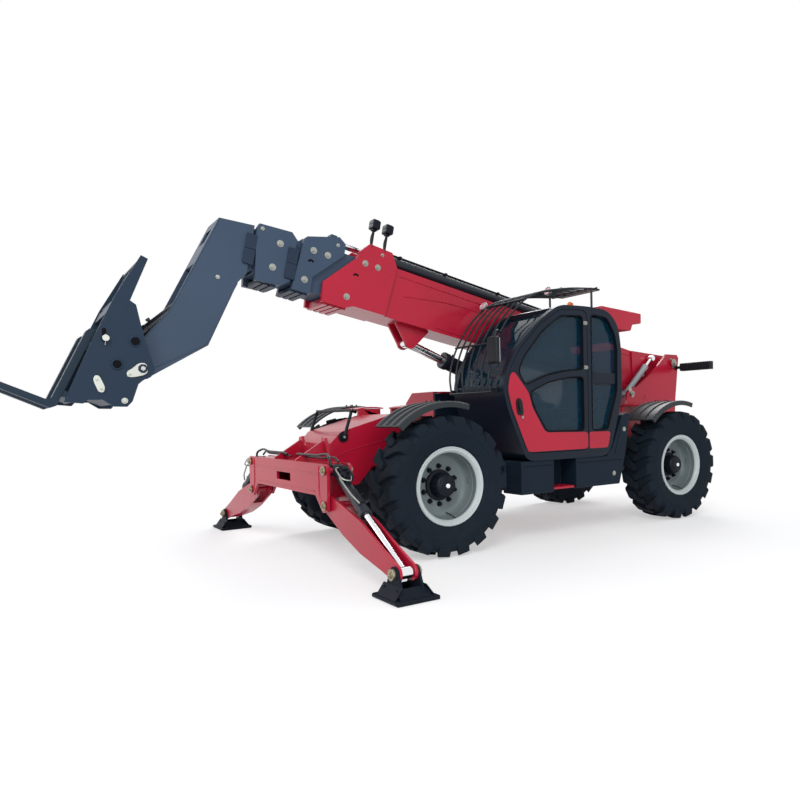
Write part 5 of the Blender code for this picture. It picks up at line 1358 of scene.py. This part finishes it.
    # Roof lamps with bright rims, the beacon and the lamp under the overhang
    rims, lenses = [], []
    for x, y, z, lean in ((0.161, 0.81, 2.475, 0.35), (0.64, 0.352, 2.345, 0.55)):
        place = shift((x, y, z)) @ Matrix.Rotation(math.radians(90) - lean, 4, "Y")
        rims.append(lay(spun([(0, -0.03), (0.03, -0.028), (0.044, -0.008), (0.047, 0.012),
            (0.043, 0.016), (0.038, 0.01), (0, 0.008)], 36), place))
        lenses.append(lay(spun([(0, 0.016), (0.02, 0.015), (0.038, 0.01), (0.038, 0.006),
            (0, 0.006)], 36), place))
    rims.append(bar((-0.991, 0.8, 2.205), (-0.991, 0.8, 2.16), 0.034, 32, 0.004))
    lenses.append(bar((-0.991, 0.8, 2.162), (-0.991, 0.8, 2.152), 0.028, 32, 0.003))
    fit(rims, "roof_lamps", "silver_paint")
    fit(lenses, "roof_lamp_lenses", "rose_lens")
    dome = spun([(0, 2.449), (0.018, 2.447), (0.03, 2.438), (0.0345, 2.42), (0.035, 2.345),
        (0.0345, 2.335), (0, 2.335)], 40)
    fit(dome, "beacon_dome", "amber_lens", matrix=MACHINE @ shift((-0.38, 0.57, 0)), node="beacon")
    fit(lay(spun([(0, 2.338), (0.04, 2.336), (0.042, 2.325), (0.042, 2.3), (0.03, 2.292),
        (0, 2.292)], 40), shift((-0.38, 0.57, 0))), "beacon_base", "moulded_plastic")
    dress("cab_visor", "red_paint", 0.014, 3)

    # Panels below the cab
    dress("cab_skirt", "skirt_paint", 0.008)
    dress("cab_step", "red_paint", 0.003)
    treads = [block((0.08 + 0.0345 * step, 0.86, 0.503), (0.098 + 0.0345 * step, 1.052, 0.5085),
        0.002) for step in range(8)]
    fit(treads, "step_treads", "red_paint")
    seams = [tube([(x, 1.0805, z) for x, z in line], 0.0025, 0.03)
        for line in ([(0.39, 0.73), (0.755, 0.73)], [(-0.62, 0.73), (0.05, 0.73)],
        [(-0.6, 1.1), (-0.5, 0.8)])]
    fit(seams, "skirt_seams", "seal_rubber_and_hole_shade")
    latches = []
    for x, z in ((-0.647, 1.051), (-0.482, 0.593)):
        latches.append(bar((x, 1.079, z), (x, 1.084, z), 0.024, 32, 0.001))
        latches.append(bar((x, 1.083, z), (x, 1.088, z), 0.011, 6, 0.001))
    fit(latches, "skirt_latches", "zinc")

    make_fittings()


def make_fittings():
    """The seat, the dashboard and the steering wheel behind the glass"""
    floor = 0.82
    wheel_place = shift((0.475, 0.68, 1.5)) @ turned(-32, "Y")
    ring = spun([(0.158, 0), (0.162, -0.01), (0.173, -0.014), (0.184, -0.01), (0.188, 0),
        (0.184, 0.01), (0.173, 0.014), (0.162, 0.01), (0.158, 0)], 48)
    spokes = [bar((0, 0, 0), (0.17 * math.cos(turn), 0.17 * math.sin(turn), 0), 0.01, 12)
        for turn in (math.pi / 2, math.pi * 7 / 6, math.pi * 11 / 6)]
    boss = bar((0, 0, -0.012), (0, 0, 0.016), 0.04, 32, 0.005)
    steering = lay(fused([ring, boss] + spokes), wheel_place)
    dash = panel([(0.56, 1.2), (0.84, 1.3), (0.84, 1.42), (0.6, 1.4)], 0.03, 4, (0.4, 0.98),
        width=0.012)
    column = [bar((0.62, 0.68, floor), (0.5, 0.68, 1.42), 0.055, 28, 0.004, 0.045),
        bar((0.52, 0.68, 1.36), (0.475, 0.68, 1.5), 0.028, 24)]
    plinth = block((-0.28, 0.45, floor), (0.1, 0.92, 1.155), 0.02)
    mat = block((-0.3, 0.36, floor), (0.65, 1.0, floor + 0.02), 0.005)
    console = block((-0.26, 0.34, 1.1), (0.26, 0.43, 1.34), 0.02)
    stick = [bar((0.18, 0.385, 1.33), (0.2, 0.385, 1.46), 0.01, 16),
        bar((0.2, 0.385, 1.45), (0.205, 0.385, 1.52), 0.022, 24, 0.008)]
    pedals = [block((0.6, y, 0.9), (0.64, y + 0.07, 0.99), 0.006) for y in (0.5, 0.78)]
    fit([steering, dash, plinth, mat, console] + column + stick + pedals, "cab_fittings",
        "moulded_plastic", node="cab_interior")
    lean = shift((-0.39, 0.68, 1.26)) @ turned(-7.5, "Y")
    for title, low, high, place in (("seat_cushion", (-0.38, 0.445, 1.158), (0.14, 0.915, 1.282),
            STILL), ("seat_back", (-0.065, -0.215, 0.0), (0.06, 0.215, 0.6), lean)):
        pad = cushion(low, high, 0.1)
        edge = rectangle(low[0] + 0.02, high[0] - 0.02, low[1] + 0.03, high[1] - 0.03,
            high[2] - 0.024)
        piping = tube(edge, 0.004, 0.04, 4, 2, True)
        fit(pad, title, "seat_cloth", matrix=MACHINE @ place)
        fit(piping, title + "_piping", "seal_rubber_and_hole_shade", matrix=MACHINE @ place, slot="black_plastic")


class TELEHANDLER_OT_cab(bpy.types.Operator):
    """Makes the cab's shell, door, panes, panels and fittings"""
    bl_idname = "telehandler.cab"
    bl_label = "Cab"

    def execute(self, context):
        make_cab()
        return {"FINISHED"}


def make_engine():
    dress("engine_pod", "skirt_paint", 0.008)
    dress("engine_hood", "red_paint", 0.014, 3)
    dress("engine_block", "cast_iron", 0.012)

    # Slanting slats in the slots of the hood's side, and a frame round each slot
    side, slots = -1.0505, [-0.595 + 0.13 * slot for slot in range(5)]
    slats = [lay(block((-0.026, -0.003, -0.004), (0.026, 0.022, 0.004), 0.001),
        shift((x, -1.045, 1.208 + 0.0155 * row)) @ turned(32, "X")) for x in slots
        for row in range(8)]
    fit(slats, "hood_slats", "hub_black", "engine_hood")
    frames = [tube(on_side([(x - 0.03, 1.192), (x + 0.03, 1.192), (x + 0.03, 1.338),
        (x - 0.03, 1.338)], -1.051), 0.004, 0.015, 4, 2, True) for x in slots]
    creases = [tube([(-0.765, side, 1.365), (0.765, side, 1.365)], 0.004),
        tube([(0.1, side, 1.19), (0.72, side, 1.19)], 0.004), tube([(0.1, side, 1.335),
        (0.72, side, 1.335)], 0.004)]
    fit(frames + creases, "hood_pressings", "red_paint", "engine_hood")
    ends = (-0.66, 0.66)
    latches = [block((x - 0.05, -1.058, 1.165), (x + 0.05, -1.048, 1.2), 0.004) for x in ends]
    latches += [bar((x, -1.052, 1.182), (x, -1.066, 1.182), 0.012, 24, 0.002) for x in ends]
    fit(latches, "hood_latches", "zinc", "engine_hood")

    # Pod: joints between its panels, lines across its ends and catches
    lines = [tube([(x, side, 0.54), (x, side, 1.12)], 0.003) for x in (-0.3, 0.3)]
    lines.append(tube([(-0.74, side, 1.1), (0.74, side, 1.1)], 0.003))
    lines += [tube([(end, -1.0, z), (end, -0.5, z)], 0.004) for end in (-0.7805, 0.7805)
        for z in (0.6, 0.7, 0.8, 0.9, 1.0)]
    fit(lines, "pod_panel_joints", "seal_rubber_and_hole_shade")
    catches = [bar((x, -1.049, z), (x, -1.056, z), 0.02, 28, 0.002) for x in (-0.52, 0.0, 0.52)
        for z in (0.6, 1.05)]
    fit(catches, "pod_catches", "zinc")

    # Engine: cover, two pulleys and a row of ports on the plain block
    made = [block((-0.5, -0.92, 1.27), (0.28, -0.54, 1.33), 0.02),
        bar((0.34, -0.73, 0.98), (0.4, -0.73, 0.98), 0.11, 40, 0.006),
        bar((0.34, -0.73, 1.2), (0.39, -0.73, 1.2), 0.05, 32, 0.004)]
    made += [bar((-0.42 + 0.16 * step, -0.54, 1.22), (-0.42 + 0.16 * step, -0.49, 1.22), 0.035, 24,
        0.004) for step in range(4)]
    fit(made, "engine_fittings", "cast_iron")

    # Ribbed lamp bar at the tail
    low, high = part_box("rear_lamp_bar")
    x, z = (low[0] + high[0]) / 2, (low[2] + high[2]) / 2
    near, far = 0.45, 0.91
    bodies = [block((x - 0.034, near, z - 0.044), (x + 0.034, far, z + 0.044), 0.01, 3),
        bar((x, 0.366, z), (x, near + 0.01, z), 0.018, 28), bar((x, 0.366, z), (x, 0.378, z),
        0.032, 28, 0.003)]
    bodies += [block((x - 0.04, near + 0.018 + 0.0286 * rib, z - 0.05),
        (x + 0.04, near + 0.028 + 0.0286 * rib, z + 0.05), 0.003) for rib in range(16)]
    fit(bodies, "rear_lamp_ribs", "moulded_plastic", matrix=STILL, node="rear_lamp_bar")
    glows = [block((x - 0.0425, near + 0.05 + 0.13 * step, z - 0.034),
        (x - 0.03, near + 0.14 + 0.13 * step, z + 0.034), 0.003) for step in range(3)]
    fit(glows, "rear_lamp_lenses", "red_lens", matrix=STILL)


class TELEHANDLER_OT_engine(bpy.types.Operator):
    """Dresses the engine pod, its hood and the engine, with slats, latches and rear lamps"""
    bl_idname = "telehandler.engine"
    bl_label = "Engine"

    def execute(self, context):
        make_engine()
        return {"FINISHED"}


OPERATORS = [
    TELEHANDLER_OT_stage, TELEHANDLER_OT_tyres, TELEHANDLER_OT_rims, TELEHANDLER_OT_fenders,
    TELEHANDLER_OT_cylinders, TELEHANDLER_OT_chassis, TELEHANDLER_OT_boom, TELEHANDLER_OT_carriage,
    TELEHANDLER_OT_stabilisers, TELEHANDLER_OT_cab, TELEHANDLER_OT_engine,
]
SETTINGS = (("telehandler_wheels", WheelSettings), ("telehandler_paint", PaintSettings),
            ("telehandler_stage", StageSettings))


class TELEHANDLER_PT_looks(bpy.types.Panel):
    """Lists the pieces that can be made"""
    bl_idname = "TELEHANDLER_PT_looks"
    bl_label = "Telehandler"
    bl_space_type = "VIEW_3D"
    bl_region_type = "UI"
    bl_category = "Telehandler"

    def draw(self, context):
        column = self.layout.column()
        for title, kind in SETTINGS:
            for key in kind.__annotations__:
                column.prop(getattr(context.scene, title), key)
        for made in OPERATORS:
            column.operator(made.bl_idname)


CLASSES = [kind for title, kind in SETTINGS] + OPERATORS + [TELEHANDLER_PT_looks]


def register():
    for kind in CLASSES:
        bpy.utils.register_class(kind)
    for title, kind in SETTINGS:
        setattr(bpy.types.Scene, title, PointerProperty(type=kind))


def unregister():
    for title, kind in SETTINGS:
        delattr(bpy.types.Scene, title)
    for kind in reversed(CLASSES):
        bpy.utils.unregister_class(kind)


def main():
    register()
    for made in OPERATORS:
        getattr(bpy.ops.telehandler, made.bl_idname.split(".")[1])()
    rest()


if __name__ == "__main__":
    main()
